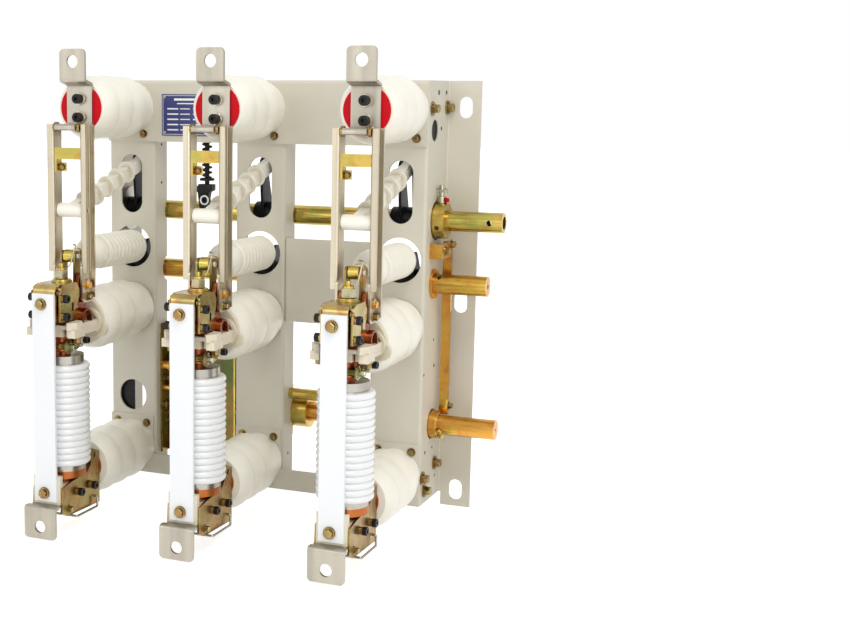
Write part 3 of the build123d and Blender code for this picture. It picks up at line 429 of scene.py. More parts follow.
def metal_finish(name, colour, roughness, along=(1.0, 1.0, 0.03), marks=0.3):
    """Rolled or cast metal: one colour with drawn lines, duller streaks and marks, and painted shade in its
    hollows.
    """
    tree, shader, vector = new_finish(name, 1.0, roughness)
    lines = effect(tree, drawn_lines, vector, Along=along, Scale=620.0)
    tone = colour_mix(tree, lines["Streaks"], opaque(colour, 0.9), opaque(colour, 1.05))
    tone = marked(tree, vector, tone, 36.0, marks, opaque(colour, 0.45))
    tone = rubbed(tree, vector, tone, 0.0007, 0.45, opaque(colour, 1.3))
    # Painted shade in hollows and inner corners.
    tone = painted_groove_shade(tree, vector, tone, 0.005, 0.5, opaque(colour, 0.3))
    surface(tree, shader, tone, span(tree, lines["Streaks"], 0.0, 1.0, roughness * 1.25, roughness * 0.8),
            lines["Height"], 0.15, 0.0003)


def make_finishes(colours):
    """One finish for each slot of the record, and a few for the small parts."""
    even = (1.0, 1.0, 1.0)
    across = (0.03, 1.0, 1.0)
    coated_finish("frame_paint", colours.paint, 0.42, 1500.0, 0.16, 0.03, marks=0.05)
    # Painted shade in the hollows of the ivory resin and the cast alloy.
    coated_finish("epoxy_ivory", colours.ivory, 0.34, 700.0, 0.05, 0.035, coat=0.15, groove_shade_share=0.62,
                  reach=0.014)
    coated_finish("ceramic_white", colours.porcelain, 0.16, 400.0, 0.03, 0.02, coat=0.5)
    coated_finish("disc_red", colours.red, 0.42, 900.0, 0.06, 0.06, specular=0.15)
    coated_finish("strip_white", (0.84, 0.87, 0.91), 0.5, 1100.0, 0.08, 0.02, marks=0.03)
    coated_finish("plate_blue", (0.035, 0.045, 0.18), 0.35, 800.0, 0.06, 0.1)
    coated_finish("black_steel", (0.007, 0.007, 0.008), 0.42, 1300.0, 0.2, 0.3, specular=0.25, wear=0.12)
    coated_finish("cast_alloy", (0.74, 0.68, 0.54), 0.4, 1200.0, 0.25, 0.06, groove_shade_share=0.5, reach=0.006)
    metal_finish("silver_plate", colours.champagne, 0.34, marks=0.22)
    metal_finish("lug_plate", (0.43, 0.40, 0.335), 0.4, marks=0.15)
    metal_finish("steel", (0.40, 0.38, 0.34), 0.24, marks=0.35)
    metal_finish("copper", colours.copper, 0.3, even, 0.35)
    metal_finish("head_copper", (0.28, 0.075, 0.03), 0.3, even, 0.5)
    plated_finish("yellow_zinc", colours.brass, (0.40, 0.40, 0.10), (0.52, 0.27, 0.07), 0.24, across)
    plated_finish("orange_zinc", colours.amber, (0.62, 0.44, 0.08), (0.55, 0.20, 0.06), 0.25, across, 20.0)
    plated_finish("bronze", (0.31, 0.20, 0.065), (0.29, 0.25, 0.08), (0.30, 0.12, 0.045), 0.3, even)
    plated_finish("bolt_zinc", (0.30, 0.20, 0.07), (0.30, 0.28, 0.10), (0.30, 0.13, 0.055), 0.26, even, 60.0)
    plated_finish("yoke_zinc", (0.47, 0.35, 0.13), (0.31, 0.30, 0.11), (0.36, 0.17, 0.08), 0.25, even)
    plated_finish("housing_zinc", (0.26, 0.20, 0.06), (0.09, 0.13, 0.05), (0.34, 0.14, 0.04), 0.3, even, 14.0)
    plated_finish("pale_zinc", (0.46, 0.43, 0.30), (0.36, 0.40, 0.24), (0.50, 0.40, 0.26), 0.3, even)


# Mesh helpers


def add_object(name, data):
    """A new object at the origin, linked to the scene."""
    item = bpy.data.objects.new(name, data)
    bpy.context.scene.collection.objects.link(item)
    return item


def settle(piece, body, finish):
    """Shading with sharp creases, one finish, and the body that the piece rides on."""
    piece.data.shade_smooth()
    piece.data.set_sharp_from_angle(angle=math.radians(35.0))
    piece.data.materials.clear()
    piece.data.materials.append(FINISHES[finish])
    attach(piece, body)
    return piece


def tree_start(name, inputs):
    """A geometry tree with its named inputs and the finish of what it makes."""
    tree = bpy.data.node_groups.new(name, "GeometryNodeTree")
    tree.interface.new_socket("Geometry", in_out="INPUT", socket_type="NodeSocketGeometry")
    new_inputs(tree, {**inputs, "Finish": None})
    tree.interface.new_socket("Geometry", in_out="OUTPUT", socket_type="NodeSocketGeometry")
    return tree, tree.nodes.new("NodeGroupInput").outputs


def tree_end(tree, given, geometry):
    """Ends a tree with plain geometry in its finish."""
    real = add(tree, "GeometryNodeRealizeInstances", Geometry=geometry)
    paint = add(tree, "GeometryNodeSetMaterial", Geometry=real.outputs["Geometry"], Material=given["Finish"])
    add(tree, "NodeGroupOutput", Geometry=paint.outputs["Geometry"])
    return tree


def lifted(tree, geometry, height):
    """Geometry moved up its own axis by a height socket."""
    rise = add(tree, "ShaderNodeCombineXYZ", Z=height)
    move = add(tree, "GeometryNodeTransform", Geometry=geometry, Translation=rise.outputs["Vector"])
    return move.outputs["Geometry"]


def drum(tree, sides, radius, depth, base):
    """A straight prism whose foot stands at a height."""
    node = add(tree, "GeometryNodeMeshCylinder", Vertices=sides, Radius=radius, Depth=depth)
    return lifted(tree, node.outputs["Mesh"], plus(tree, base, times(tree, depth, 0.5)))


def taper(tree, sides, low, high, depth, base):
    """A tapered prism whose foot stands at a height."""
    node = add(tree, "GeometryNodeMeshCone", Vertices=sides, Radius_Bottom=low, Radius_Top=high, Depth=depth)
    return lifted(tree, node.outputs["Mesh"], base)


def spread(tree, given, *parts):
    """Joins the parts, sets them on every point by its aim, turn and size, and ends the tree."""
    join = tree.nodes.new("GeometryNodeJoinGeometry")
    for part in parts:
        tree.links.new(part, join.inputs["Geometry"])
    values = {}
    for label, kind in (("aim", "FLOAT_VECTOR"), ("turn", "FLOAT"), ("size", "FLOAT")):
        node = tree.nodes.new("GeometryNodeInputNamedAttribute")
        node.data_type = kind
        node.inputs["Name"].default_value = label
        values[label] = node.outputs["Attribute"]
    align = tree.nodes.new("FunctionNodeAlignRotationToVector")
    align.axis = "Z"
    tree.links.new(values["aim"], align.inputs["Vector"])
    about = add(tree, "FunctionNodeAxisAngleToRotation", Axis=UP, Angle=values["turn"])
    both = add(tree, "FunctionNodeRotateRotation", Rotation=align.outputs["Rotation"],
               Rotate_By=about.outputs["Rotation"])
    both.rotation_space = "LOCAL"
    put = add(tree, "GeometryNodeInstanceOnPoints", Points=given["Geometry"],
              Instance=join.outputs["Geometry"], Rotation=both.outputs["Rotation"], Scale=values["size"])
    return tree_end(tree, given, put.outputs["Instances"])


def hex_screws():
    """A hexagon head with a chamfered top on a washer and a narrower spring washer."""
    tree, given = tree_start("hex_screws", {"Head Radius": 0.0063, "Head Height": 0.005,
                                            "Washer Radius": 0.0082, "Washer Thickness": 0.0014})
    thick = given["Washer Thickness"]
    radius = given["Head Radius"]
    foot = times(tree, thick, 2.0)
    straight = times(tree, given["Head Height"], 0.82)
    washer = drum(tree, 28, given["Washer Radius"], thick, 0.0)
    spring = drum(tree, 24, times(tree, radius, 0.98), thick, thick)
    head = drum(tree, 6, radius, straight, foot)
    top = taper(tree, 6, radius, times(tree, radius, 0.84), times(tree, given["Head Height"], 0.18),
                plus(tree, foot, straight))
    return spread(tree, given, washer, spring, head, top)


def cap_screws():
    """A round head with a six-sided recess, on a washer."""
    tree, given = tree_start("cap_screws", {"Head Radius": 0.008, "Head Height": 0.008,
                                            "Washer Radius": 0.0095, "Washer Thickness": 0.0015})
    thick = given["Washer Thickness"]
    radius = given["Head Radius"]
    height = given["Head Height"]
    straight = times(tree, height, 0.9)
    body = drum(tree, 32, radius, straight, thick)
    rim = taper(tree, 32, radius, times(tree, radius, 0.9), times(tree, height, 0.1),
                plus(tree, thick, straight))
    whole = tree.nodes.new("GeometryNodeMeshBoolean")
    whole.operation = "UNION"
    tree.links.new(body, whole.inputs["Mesh 2"])
    tree.links.new(rim, whole.inputs["Mesh 2"])
    recess = drum(tree, 6, times(tree, radius, 0.52), height, times(tree, height, 0.6))
    cut = tree.nodes.new("GeometryNodeMeshBoolean")
    cut.operation = "DIFFERENCE"
    feed(tree, cut, Mesh_1=whole.outputs["Mesh"], Mesh_2=recess)
    return spread(tree, given, cut.outputs["Mesh"], drum(tree, 28, given["Washer Radius"], thick, 0.0))


def round_heads():
    """A round head or sleeve with a bevelled rim and a shallow crown."""
    tree, given = tree_start("round_heads", {"Radius": 0.005, "Height": 0.004, "Rim": 0.0006,
                                             "Crown": 0.0002})
    radius = given["Radius"]
    rim = given["Rim"]
    straight = math_node(tree, "SUBTRACT", given["Height"], rim)
    inside = math_node(tree, "SUBTRACT", radius, rim)
    body = drum(tree, 28, radius, straight, 0.0)
    bevel = taper(tree, 28, radius, inside, rim, straight)
    crown = taper(tree, 28, inside, times(tree, inside, 0.35), given["Crown"], given["Height"])
    return spread(tree, given, body, bevel, crown)


def wound_coils():
    """A round wire wound as a helix, with its foot at a place."""
    tree, given = tree_start("wound_coils", {"Turns": 12.0, "Radius": 0.007, "Height": 0.09,
                                             "Wire Radius": 0.0014, "Place": (0.0, 0.0, 0.0)})
    helix = add(tree, "GeometryNodeCurveSpiral", Resolution=24, Rotations=given["Turns"],
                Start_Radius=given["Radius"], End_Radius=given["Radius"], Height=given["Height"])
    section = add(tree, "GeometryNodeCurvePrimitiveCircle", Resolution=10, Radius=given["Wire Radius"])
    wound = add(tree, "GeometryNodeCurveToMesh", Curve=helix.outputs["Curve"],
                Profile_Curve=section.outputs["Curve"], Fill_Caps=True)
    move = add(tree, "GeometryNodeTransform", Geometry=wound.outputs["Mesh"], Translation=given["Place"])
    return tree_end(tree, given, move.outputs["Geometry"])


def point_mesh(name, spots):
    """A mesh of bare points, each with the way that its screw aims, its turn and its size."""
    mesh = bpy.data.meshes.new(name)
    mesh.from_pydata([tuple(item[0]) for item in spots], [], [])
    aims = mesh.attributes.new("aim", "FLOAT_VECTOR", "POINT")
    for number, item in enumerate(spots):
        aims.data[number].vector = item[1]
    for label, slot in (("turn", 2), ("size", 3)):
        values = mesh.attributes.new(label, "FLOAT", "POINT")
        for number, item in enumerate(spots):
            values.data[number].value = item[slot]
    return mesh


def grown(name, mesh, maker, finish, body, **settings):
    """The piece that a maker's geometry tree makes from a carrier mesh."""
    settings = {label.replace("_", " "): value for label, value in settings.items()}
    settings["Finish"] = FINISHES[finish]
    piece = add_object(name, mesh)
    modifier = piece.modifiers.new("pattern", "NODES")
    modifier.node_group = built(maker)
    for item in modifier.node_group.interface.items_tree:
        if item.item_type == "SOCKET" and item.in_out == "INPUT" and item.name in settings:
            modifier[item.identifier] = settings[item.name]
    graph = bpy.context.evaluated_depsgraph_get()
    plain = bpy.data.meshes.new_from_object(piece.evaluated_get(graph), depsgraph=graph)
    piece.modifiers.clear()
    piece.data = plain
    return settle(piece, body, finish)


def hexagons(name, spots, finish, body, radius, height, washer, thickness=0.0014):
    """Hexagon screws on one body, each on a plain and a spring washer."""
    grown(name, point_mesh(name, spots), hex_screws, finish, body, Head_Radius=radius, Head_Height=height,
          Washer_Radius=washer, Washer_Thickness=thickness)


def black_caps(name, spots, radius, height, washer, thickness):
    """Black cap screws on the frame."""
    grown(name, point_mesh(name, spots), cap_screws, "black_steel", "frame", Head_Radius=radius,
          Head_Height=height, Washer_Radius=washer, Washer_Thickness=thickness)


def buttons(name, spots, finish, body, radius, height, rim=0.0005, crown=0.0002):
    """Round heads or sleeves on one body."""
    grown(name, point_mesh(name, spots), round_heads, finish, body, Radius=radius, Height=height, Rim=rim,
          Crown=crown)


def painted_hole_shade(name, spots, body, radius, height=0.0002):
    """Small holes, as flat black discs: painted shade where the inside of a hole is dark."""
    buttons(name, spots, "black_steel", body, radius, height, 0.0001, 0.00002)


def turned(shape, place, aim, profile, steps=36):
    """Adds a turned part to a shape, from a profile of radius and height in millimetres. A profile that
    starts on the axis also ends there, any other closes on itself as a ring."""
    matrix = Matrix.Translation(place) @ Vector(aim).normalized().to_track_quat("Z", "Y").to_matrix().to_4x4()
    rows = []
    for radius, height in profile:
        row = []
        for step in range(steps if radius else 1):
            angle = 2.0 * math.pi * step / steps
            point = Vector((radius * math.cos(angle), radius * math.sin(angle), height)) * MM
            row.append(shape.verts.new(matrix @ point))
        rows.append(row)
    pairs = list(zip(rows, rows[1:]))
    if profile[0][0]:
        pairs.append((rows[-1], rows[0]))
    for low, high in pairs:
        for step in range(steps):
            after = (step + 1) % steps
            corners = []
            for row, number in ((low, step), (low, after), (high, after), (high, step)):
                corner = row[number % len(row)]
                if corner not in corners:
                    corners.append(corner)
            if len(corners) > 2:
                shape.faces.new(corners)


def plate(shape, place, right, up, outline, thickness):
    """Adds a flat plate, its outline in millimetres along right and up, thickened along right x up."""
    right = Vector(right)
    up = Vector(up)
    out = right.cross(up) * thickness * MM
    low = [shape.verts.new(place + (right * u + up * v) * MM) for u, v in outline]
    high = [shape.verts.new(corner.co + out) for corner in low]
    shape.faces.new(list(reversed(low)))
    shape.faces.new(high)
    for number in range(len(outline)):
        after = (number + 1) % len(outline)
        shape.faces.new((low[number], low[after], high[after], high[number]))


def rounded_outline(width, height, radius, steps=5):
    """The outline of a rectangle with rounded corners, about its middle."""
    points = []
    for number, (side, rise) in enumerate(((1, 1), (-1, 1), (-1, -1), (1, -1))):
        for step in range(steps + 1):
            angle = math.radians(90.0 * number + 90.0 * step / steps)
            points.append((side * (width / 2 - radius) + radius * math.cos(angle),
                           rise * (height / 2 - radius) + radius * math.sin(angle)))
    return points


def shaped(name, shape, finish, body, bevel=0.0):
    """A shape made a piece, with bevelled edges and its faces outwards."""
    bmesh.ops.recalc_face_normals(shape, faces=shape.faces)
    if bevel:
        crease = math.radians(30.0)
        sharp = [edge for edge in shape.edges if edge.is_manifold and edge.calc_face_angle() > crease]
        bmesh.ops.bevel(shape, geom=sharp, offset=bevel * MM, segments=2, profile=0.6, affect="EDGES")
    mesh = bpy.data.meshes.new(name)
    shape.to_mesh(mesh)
    shape.free()
    return settle(add_object(name, mesh), body, finish)


def turned_piece(name, finish, body, parts, bevel=0.0):
    """A piece of turned parts, each with its place, aim and profile, and its steps where they aren't 36."""
    shape = bmesh.new()
    for part in parts:
        turned(shape, *part)
    return shaped(name, shape, finish, body, bevel)


def bent_wire(name, points, radius, finish, body):
    """A bent round wire through smooth points in millimetres."""
    curve = bpy.data.curves.new(name, "CURVE")
    curve.dimensions = "3D"
    curve.bevel_depth = radius * MM
    curve.bevel_resolution = 4
    curve.resolution_u = 10
    curve.use_fill_caps = True
    spline = curve.splines.new("NURBS")
    spline.points.add(len(points) - 1)
    for control, place in zip(spline.points, points):
        control.co = (*spot(*place), 1.0)
    spline.order_u = 3
    spline.use_endpoint_u = True
    carrier = add_object(name, curve)
    graph = bpy.context.evaluated_depsgraph_get()
    mesh = bpy.data.meshes.new_from_object(carrier.evaluated_get(graph), depsgraph=graph)
    bpy.data.objects.remove(carrier)
    return settle(add_object(name, mesh), body, finish)


# Operators


class SWITCH_OT_stage(Operator):
    """Camera, lamps, world and pale floor"""

    bl_idname = "switch.stage"
    bl_label = "Stage"

    def execute(self, context):
        scene = context.scene
        scene.view_settings.view_transform = "Standard"
        self.camera(scene)
        self.world(scene)
        self.floor()
        self.lamps()
        return {"FINISHED"}

    def facing(self, place, forward):
        """The matrix of a camera or lamp at a place, turned forward."""
        return Matrix.Translation(place) @ forward.to_track_quat("-Z", "Y").to_matrix().to_4x4()

    def camera(self, scene):
        """The camera fitted to the photo."""
        lens = bpy.data.cameras.new("camera")
        lens.sensor_width = 36.0
        lens.lens = 60.48
        lens.shift_x = 0.238
        lens.shift_y = -0.0088
        lens.clip_end = 60.0
        camera = add_object("camera", lens)
        forward = Vector((-0.419, 0.895, -0.151)).normalized()
        roll = Matrix.Rotation(math.radians(0.2), 4, "Z")
        camera.matrix_world = self.facing(spot(821.5, -1878.2, 295.3), forward) @ roll
        scene.camera = camera

    def lit_or_seen(self, tree, lit, seen):
        """One shader for the light on the object, another for rays from the camera, from gloss and through
        glass."""
        path = tree.nodes.new("ShaderNodeLightPath").outputs
        direct = math_node(tree, "MAXIMUM", path["Is Camera Ray"], path["Is Transmission Ray"])
        shown = math_node(tree, "MAXIMUM", direct, path["Is Glossy Ray"])
        mix = add(tree, "ShaderNodeMixShader", Fac=shown)
        tree.links.new(lit.outputs[0], mix.inputs[1])
        tree.links.new(seen.outputs[0], mix.inputs[2])
        return mix.outputs[0]

    def world(self, scene):
        """Plain white all round, dimmer as a light than as a backdrop."""
        scene.world = bpy.data.worlds.new("studio")
        tree = empty_tree(scene.world)
        glow = add(tree, "ShaderNodeBackground", Color=(*LAMP_TINT, 1.0), Strength=0.72)
        plain = add(tree, "ShaderNodeBackground", Color=WHITE, Strength=1.0)
        add(tree, "ShaderNodeOutputWorld", Surface=self.lit_or_seen(tree, glow, plain))

    def floor(self):
        """A white floor under the lowest point, which keeps the switch's shadow."""
        height = SOLID_BOX[0][2] - 0.002
        reach = 14.0
        mesh = bpy.data.meshes.new("floor")
        mesh.from_pydata([(x * reach, y * reach, height) for x, y in ((-1, -1), (1, -1), (1, 1), (-1, 1))],
                         [], [(0, 1, 2, 3)])
        material = bpy.data.materials.new("floor")
        tree = empty_tree(material)
        plain = add(tree, "ShaderNodeBsdfDiffuse", Color=(0.93, 0.93, 0.93, 1.0))
        glow = add(tree, "ShaderNodeEmission", Color=WHITE, Strength=0.64)
        both = tree.nodes.new("ShaderNodeAddShader")
        tree.links.new(plain.outputs[0], both.inputs[0])
        tree.links.new(glow.outputs[0], both.inputs[1])
        add(tree, "ShaderNodeOutputMaterial", Surface=self.lit_or_seen(tree, plain, both))
        mesh.materials.append(material)
        floor = add_object("floor", mesh)

    def lamps(self):
        """Soft boxes: a key at the left front, a fill at the right and one overhead."""
        middle = Vector((-0.27, -0.15, 0.15))
        for name, place, size, power in (("key", (-1.1, -2.1, 1.0), 1.1, 7.0),
                                         ("fill", (1.35, -2.0, 0.75), 1.1, 8.5),
                                         ("top", (0.6, -1.2, 2.1), 1.0, 16.0)):
            lamp = bpy.data.lights.new(name, "AREA")
            lamp.size = size
            lamp.energy = power
            lamp.color = LAMP_TINT
            add_object(name, lamp).matrix_world = self.facing(Vector(place), middle - Vector(place))


class SWITCH_OT_finishes(Operator):
    """The record's finishes on every solid"""

    bl_idname = "switch.finishes"
    bl_label = "Finishes"

    def execute(self, context):
        make_finishes(context.scene.switch_colours)
        slots = {item["node"]: item["material_slot"] for item in frame["record"]["subparts"]}
        slots.update(OWN_FINISHES)
        for name, node in frame["nodes"].items():
            if name not in slots:
                raise RuntimeError(f"no finish for {name}")
            node.data.materials.clear()
            node.data.materials.append(FINISHES[slots[name]])
        return {"FINISHED"}


class SWITCH_OT_frame_screws(Operator):
    """Plated hexagon screws on the front of the frame"""

    bl_idname = "switch.frame_screws"
    bl_label = "Frame screws"

    def execute(self, context):
        sizes = context.scene.switch_sizes
        spots = []
        for x in POLES.values():
            spots += at(FRONT, 0.3, 0.7, (x + 22.0, 0.0, 235.0))
            spots += at(FRONT, 0.9, 0.7, (x - 25.0, 0.0, -202.0), (x + 25.0, 0.0, -202.0))
        hexagons("frame_screws", spots, "bolt_zinc", "frame", sizes.screw_width / 2.0, sizes.screw_height,
                 sizes.washer_radius)
        return {"FINISHED"}


class SWITCH_OT_side_bolts(Operator):
    """Bolts through both side plates"""

    bl_idname = "switch.side_bolts"
    bl_label = "Side plate bolts"

    def execute(self, context):
        sizes = context.scene.switch_sizes
        spots = []
        for number, (y, z) in enumerate(((20.0, 275.0), (89.5, 276.0), (71.0, -232.0), (14.0, -242.0),
                                         (25.0, -262.0))):
            spots += at(RIGHT, 0.5 + number, 1.12, (SIDE_PLATE, y, z))
            spots += at(LEFT, 0.2 + number, 1.12, (-SIDE_PLATE, y, z))
        hexagons("side_bolts", spots, "bolt_zinc", "frame", sizes.screw_width / 2.0,
                 sizes.screw_height * 1.1, sizes.washer_radius, 0.0017)
        return {"FINISHED"}


class SWITCH_OT_insulator_bolts(Operator):
    """Bolts behind the posts that hold the insulators"""

    bl_idname = "switch.insulator_bolts"
    bl_label = "Insulator bolts"

    def execute(self, context):
        places = [(x, 6.0, z) for x in POLES.values() for z in (274.0, -25.0, -237.0)]
        hexagons("insulator_bolts", at(BACK, 0.4, 1.0, *places), "yellow_zinc", "frame",
                 0.0104, 0.0075, 0.0135, 0.002)
        return {"FINISHED"}


class SWITCH_OT_punched_holes(Operator):
    """Small unused holes of the folded steel, as black discs of painted shade"""

    bl_idname = "switch.punched_holes"
    bl_label = "Punched holes"

    def execute(self, context):
        spots = []
        for y, z, size in ((49.0, 296.8, 1.4), (85.0, 296.9, 1.1), (65.0, 247.3, 1.1), (25.0, -207.0, 1.0),
                           (59.0, -206.5, 0.8), (48.0, -252.0, 1.2), (75.0, -252.0, 0.8),
                           (11.0, -93.0, 0.8), (58.0, -87.0, 1.0), (53.0, -49.0, 0.8)):
            spots += both_sides(0.0, SIDE_PLATE, y, z, 0.0, size)
        spots += at(RIGHT, 0.0, 0.8, (-170.0, 22.7, 219.0), (-170.0, 22.3, 162.5), (38.5, 23.0, -230.0),
                    (-170.0, 23.0, -230.0))
        painted_hole_shade("punched_holes", spots, "frame", 0.0026, 0.00025)
        return {"FINISHED"}


class SWITCH_OT_terminal_screws(Operator):
    """Black cap screws that hold the upper terminals, on pale washers"""

    bl_idname = "switch.terminal_screws"
    bl_label = "Terminal screws"

    def execute(self, context):
        sizes = context.scene.switch_sizes
        heads = []
        washers = []
        for x in POLES.values():
            for z in (260.9, 286.4):
                heads += at(FRONT, 0.4, 1.0, (x, -148.6, z))
                washers.append((spot(x, -147.0, z), FRONT,
                                ((4.0, 0.0), (8.6, 0.0), (8.6, 1.3), (8.2, 1.6), (4.0, 1.6))))
        black_caps("terminal_screws", heads, sizes.cap_radius, sizes.cap_height, sizes.cap_radius * 0.98,
                   0.0006)
        turned_piece("terminal_washers", "silver_plate", "frame", washers)
        return {"FINISHED"}


class SWITCH_OT_strip_bolts(Operator):
    """Bolt at each end of the white tie strips"""

    bl_idname = "switch.strip_bolts"
    bl_label = "Strip bolts"

    def execute(self, context):
        collar = ((3.0, 0.0), (8.4, 0.0), (8.4, 1.3), (7.2, 1.4), (7.2, 1.9), (7.8, 2.0), (7.8, 3.4),
                  (3.0, 3.4))
        spots = []
        collars = []
        for x in POLES.values():
            for side, z in ((-2.5, 11.5), (-1.5, -251.8)):
                collars.append((spot(x + side, STRIP_FRONT, z), FRONT, collar))
                spots += at(FRONT, 0.35, 1.0, (x + side, STRIP_FRONT - 2.6, z))
        hexagons("strip_bolts", spots, "bolt_zinc", "frame", 0.0062, 0.0042, 0.0066, 0.0006)
        turned_piece("strip_washers", "bolt_zinc", "frame", collars, 0.15)
        return {"FINISHED"}


class SWITCH_OT_yoke_nuts(Operator):
    """Hexagon nut, washers and stud on top of each yoke"""

    bl_idname = "switch.yoke_nuts"
    bl_label = "Yoke nuts"

    def execute(self, context):
        washer = ((7.4, 0.0), (14.6, 0.0), (14.6, 1.6), (13.0, 2.0), (13.0, 3.6), (7.4, 3.6))
        nut = ((7.2, 3.6), (8.9, 3.6), (9.9, 4.6), (9.9, 15.2), (8.9, 16.4), (7.2, 16.4))
        stud = ((0.0, 16.0), (7.3, 16.0), (7.3, 18.6), (6.6, 19.4), (3.4, 19.4), (3.4, 24.4), (2.8, 25.2),
                (0.0, 25.2))
        for name, finish, profile, steps, bevel in (("yoke_washers", "yellow_zinc", washer, 36, 0.15),
                                                    ("yoke_nuts", "pale_zinc", nut, 6, 0.35),
                                                    ("yoke_studs", "yellow_zinc", stud, 36, 0.12)):
            parts = [(spot(x, -200.0, 37.0), UP, profile, steps) for x in POLES.values()]
            turned_piece(name, finish, "frame", parts, bevel)
        return {"FINISHED"}


class SWITCH_OT_flange_screws(Operator):
    """Black cap screws on brass sleeves, on the yokes' side flanges and the lower side plates"""

    bl_idname = "switch.flange_screws"
    bl_label = "Flange screws"

    def execute(self, context):
        sizes = context.scene.switch_sizes
        sleeves = []
        heads = []
        for x in POLES.values():
            for half, y, z in ((22.0, -233.5, 18.2), (22.0, -233.0, -6.5), (24.0, -203.0, -258.6),
                               (24.0, -166.0, -258.0)):
                sleeves += both_sides(x, half, y, z)
                heads += both_sides(x, half + 2.6, y, z, 0.3)
        buttons("flange_sleeves", sleeves, "bolt_zinc", "frame", 0.0052, 0.003)
        black_caps("flange_screws", heads, sizes.cap_radius * 0.84, sizes.cap_height * 0.76,
                   sizes.cap_radius * 0.8, 0.0004)
        return {"FINISHED"}


class SWITCH_OT_head_bolts(Operator):
    """Bolts of the cradles, the yokes and the lower side plates"""

    bl_idname = "switch.head_bolts"
    bl_label = "Head bolts"

    def execute(self, context):
        bolts = []
        caps = []
        for x in POLES.values():
            bolts += at(DOWN, 0.2, 1.0, (x + 33.0, -215.0, -36.0), (x - 33.0, -215.0, -36.0))
            bolts += both_sides(x, 24.0, -227.2, -277.5, 0.6, 0.85)
            bolts += both_sides(x, 19.0, -240.5, 26.5, 0.1, 0.55)
            caps += both_sides(x, 33.0, -196.0, -43.0, 0.2)
        hexagons("head_bolts", bolts, "bolt_zinc", "frame", 0.0046, 0.0056, 0.0068, 0.0013)
        black_caps("cradle_screws", caps, 0.0047, 0.006, 0.005, 0.001)
        return {"FINISHED"}


class SWITCH_OT_blade_fittings(Operator):
    """Pins, bolts, rivets and spacer rings of the isolating blades"""

    bl_idname = "switch.blade_fittings"
    bl_label = "Blade fittings"

    def execute(self, context):
        face = 23.5
        ring = ((6.05, 0.0), (6.9, 0.0), (6.9, 1.2), (6.4, 1.4), (6.4, 2.2), (6.9, 2.4), (6.9, 3.8),
                (6.05, 3.8))
        for pole, x in POLES.items():
            body = "blade_" + pole
            rivets = []
            for y, z, size in ((-178.0, 248.0, 1.0), (-171.0, 212.0, 0.8), (-171.0, 133.0, 1.5),
                               (-171.0, 170.0, 0.6), (-171.0, 90.0, 0.6)):
                rivets += both_sides(x, face, y, z, 0.0, size)
            hexagons("blade_pins_" + pole, both_sides(x, face, -171.0, 30.0, 0.4), "orange_zinc", body,
                     0.0052, 0.0042, 0.0064, 0.0009)
            hexagons("blade_bolts_" + pole, both_sides(x, face, -169.0, 13.6, 0.8), "bolt_zinc", body,
                     0.0044, 0.0046, 0.0062, 0.0011)
            buttons("blade_rivets_" + pole, rivets, "bolt_zinc", body, 0.0024, 0.0011)
            hexagons("clip_screw_" + pole, at(FRONT, 0.2, 1.0, (x - 14.0, -170.0, 193.0)), "bolt_zinc", body,
                     0.0037, 0.0034, 0.0046, 0.0008)
            rings = [(spot(x + side * 16.6, -178.0, 248.0), aim, ring) for side, aim in SIDES]
            turned_piece("contact_rings_" + pole, "bronze", body, rings)
        return {"FINISHED"}


class SWITCH_OT_link_caps(Operator):
    """Gold sleeve round each link's front eye, with a collar and a red seal"""

    bl_idname = "switch.link_caps"
    bl_label = "Link caps"

    def execute(self, context):
        eye = ((3.9, 0.0), (8.4, 0.0), (9.1, 0.7), (9.1, 13.9), (8.4, 14.6), (3.9, 14.6))
        collar = ((9.1, 0.0), (10.6, 0.0), (10.6, 3.4), (9.9, 4.0), (9.1, 4.0))
        seal = ((9.1, 0.0), (9.9, 0.3), (10.2, 1.2), (9.9, 2.1), (9.1, 2.4))
        for pole, x in POLES.items():
            for name, finish, place, aim, profile in (
                    ("link_eye_", "yellow_zinc", spot(x - 7.3, -176.0, 70.0), RIGHT, eye),
                    ("link_collar_", "bronze", spot(x, -157.0, 68.9), FRONT, collar),
                    ("link_seal_", "disc_red", spot(x, -152.6, 68.7), FRONT, seal)):
                turned_piece(name + pole, finish, "link_" + pole, [(place, aim, profile)])
        return {"FINISHED"}


class SWITCH_OT_bent_rods(Operator):
    """Thin bent rod beside each head's nut"""

    bl_idname = "switch.bent_rods"
    bl_label = "Bent rods"

    def execute(self, context):
        bends = ((8.0, -196.0, 56.5), (10.0, -194.0, 60.0), (11.0, -192.0, 64.0), (13.0, -189.0, 78.0),
                 (14.5, -187.0, 84.0), (13.0, -183.0, 87.0), (6.0, -178.0, 86.0))
        for pole, x in POLES.items():
            points = [(x + side, y, z) for side, y, z in bends]
            bent_wire("bent_rod_" + pole, points, 1.1, "pale_zinc", "frame")
        return {"FINISHED"}


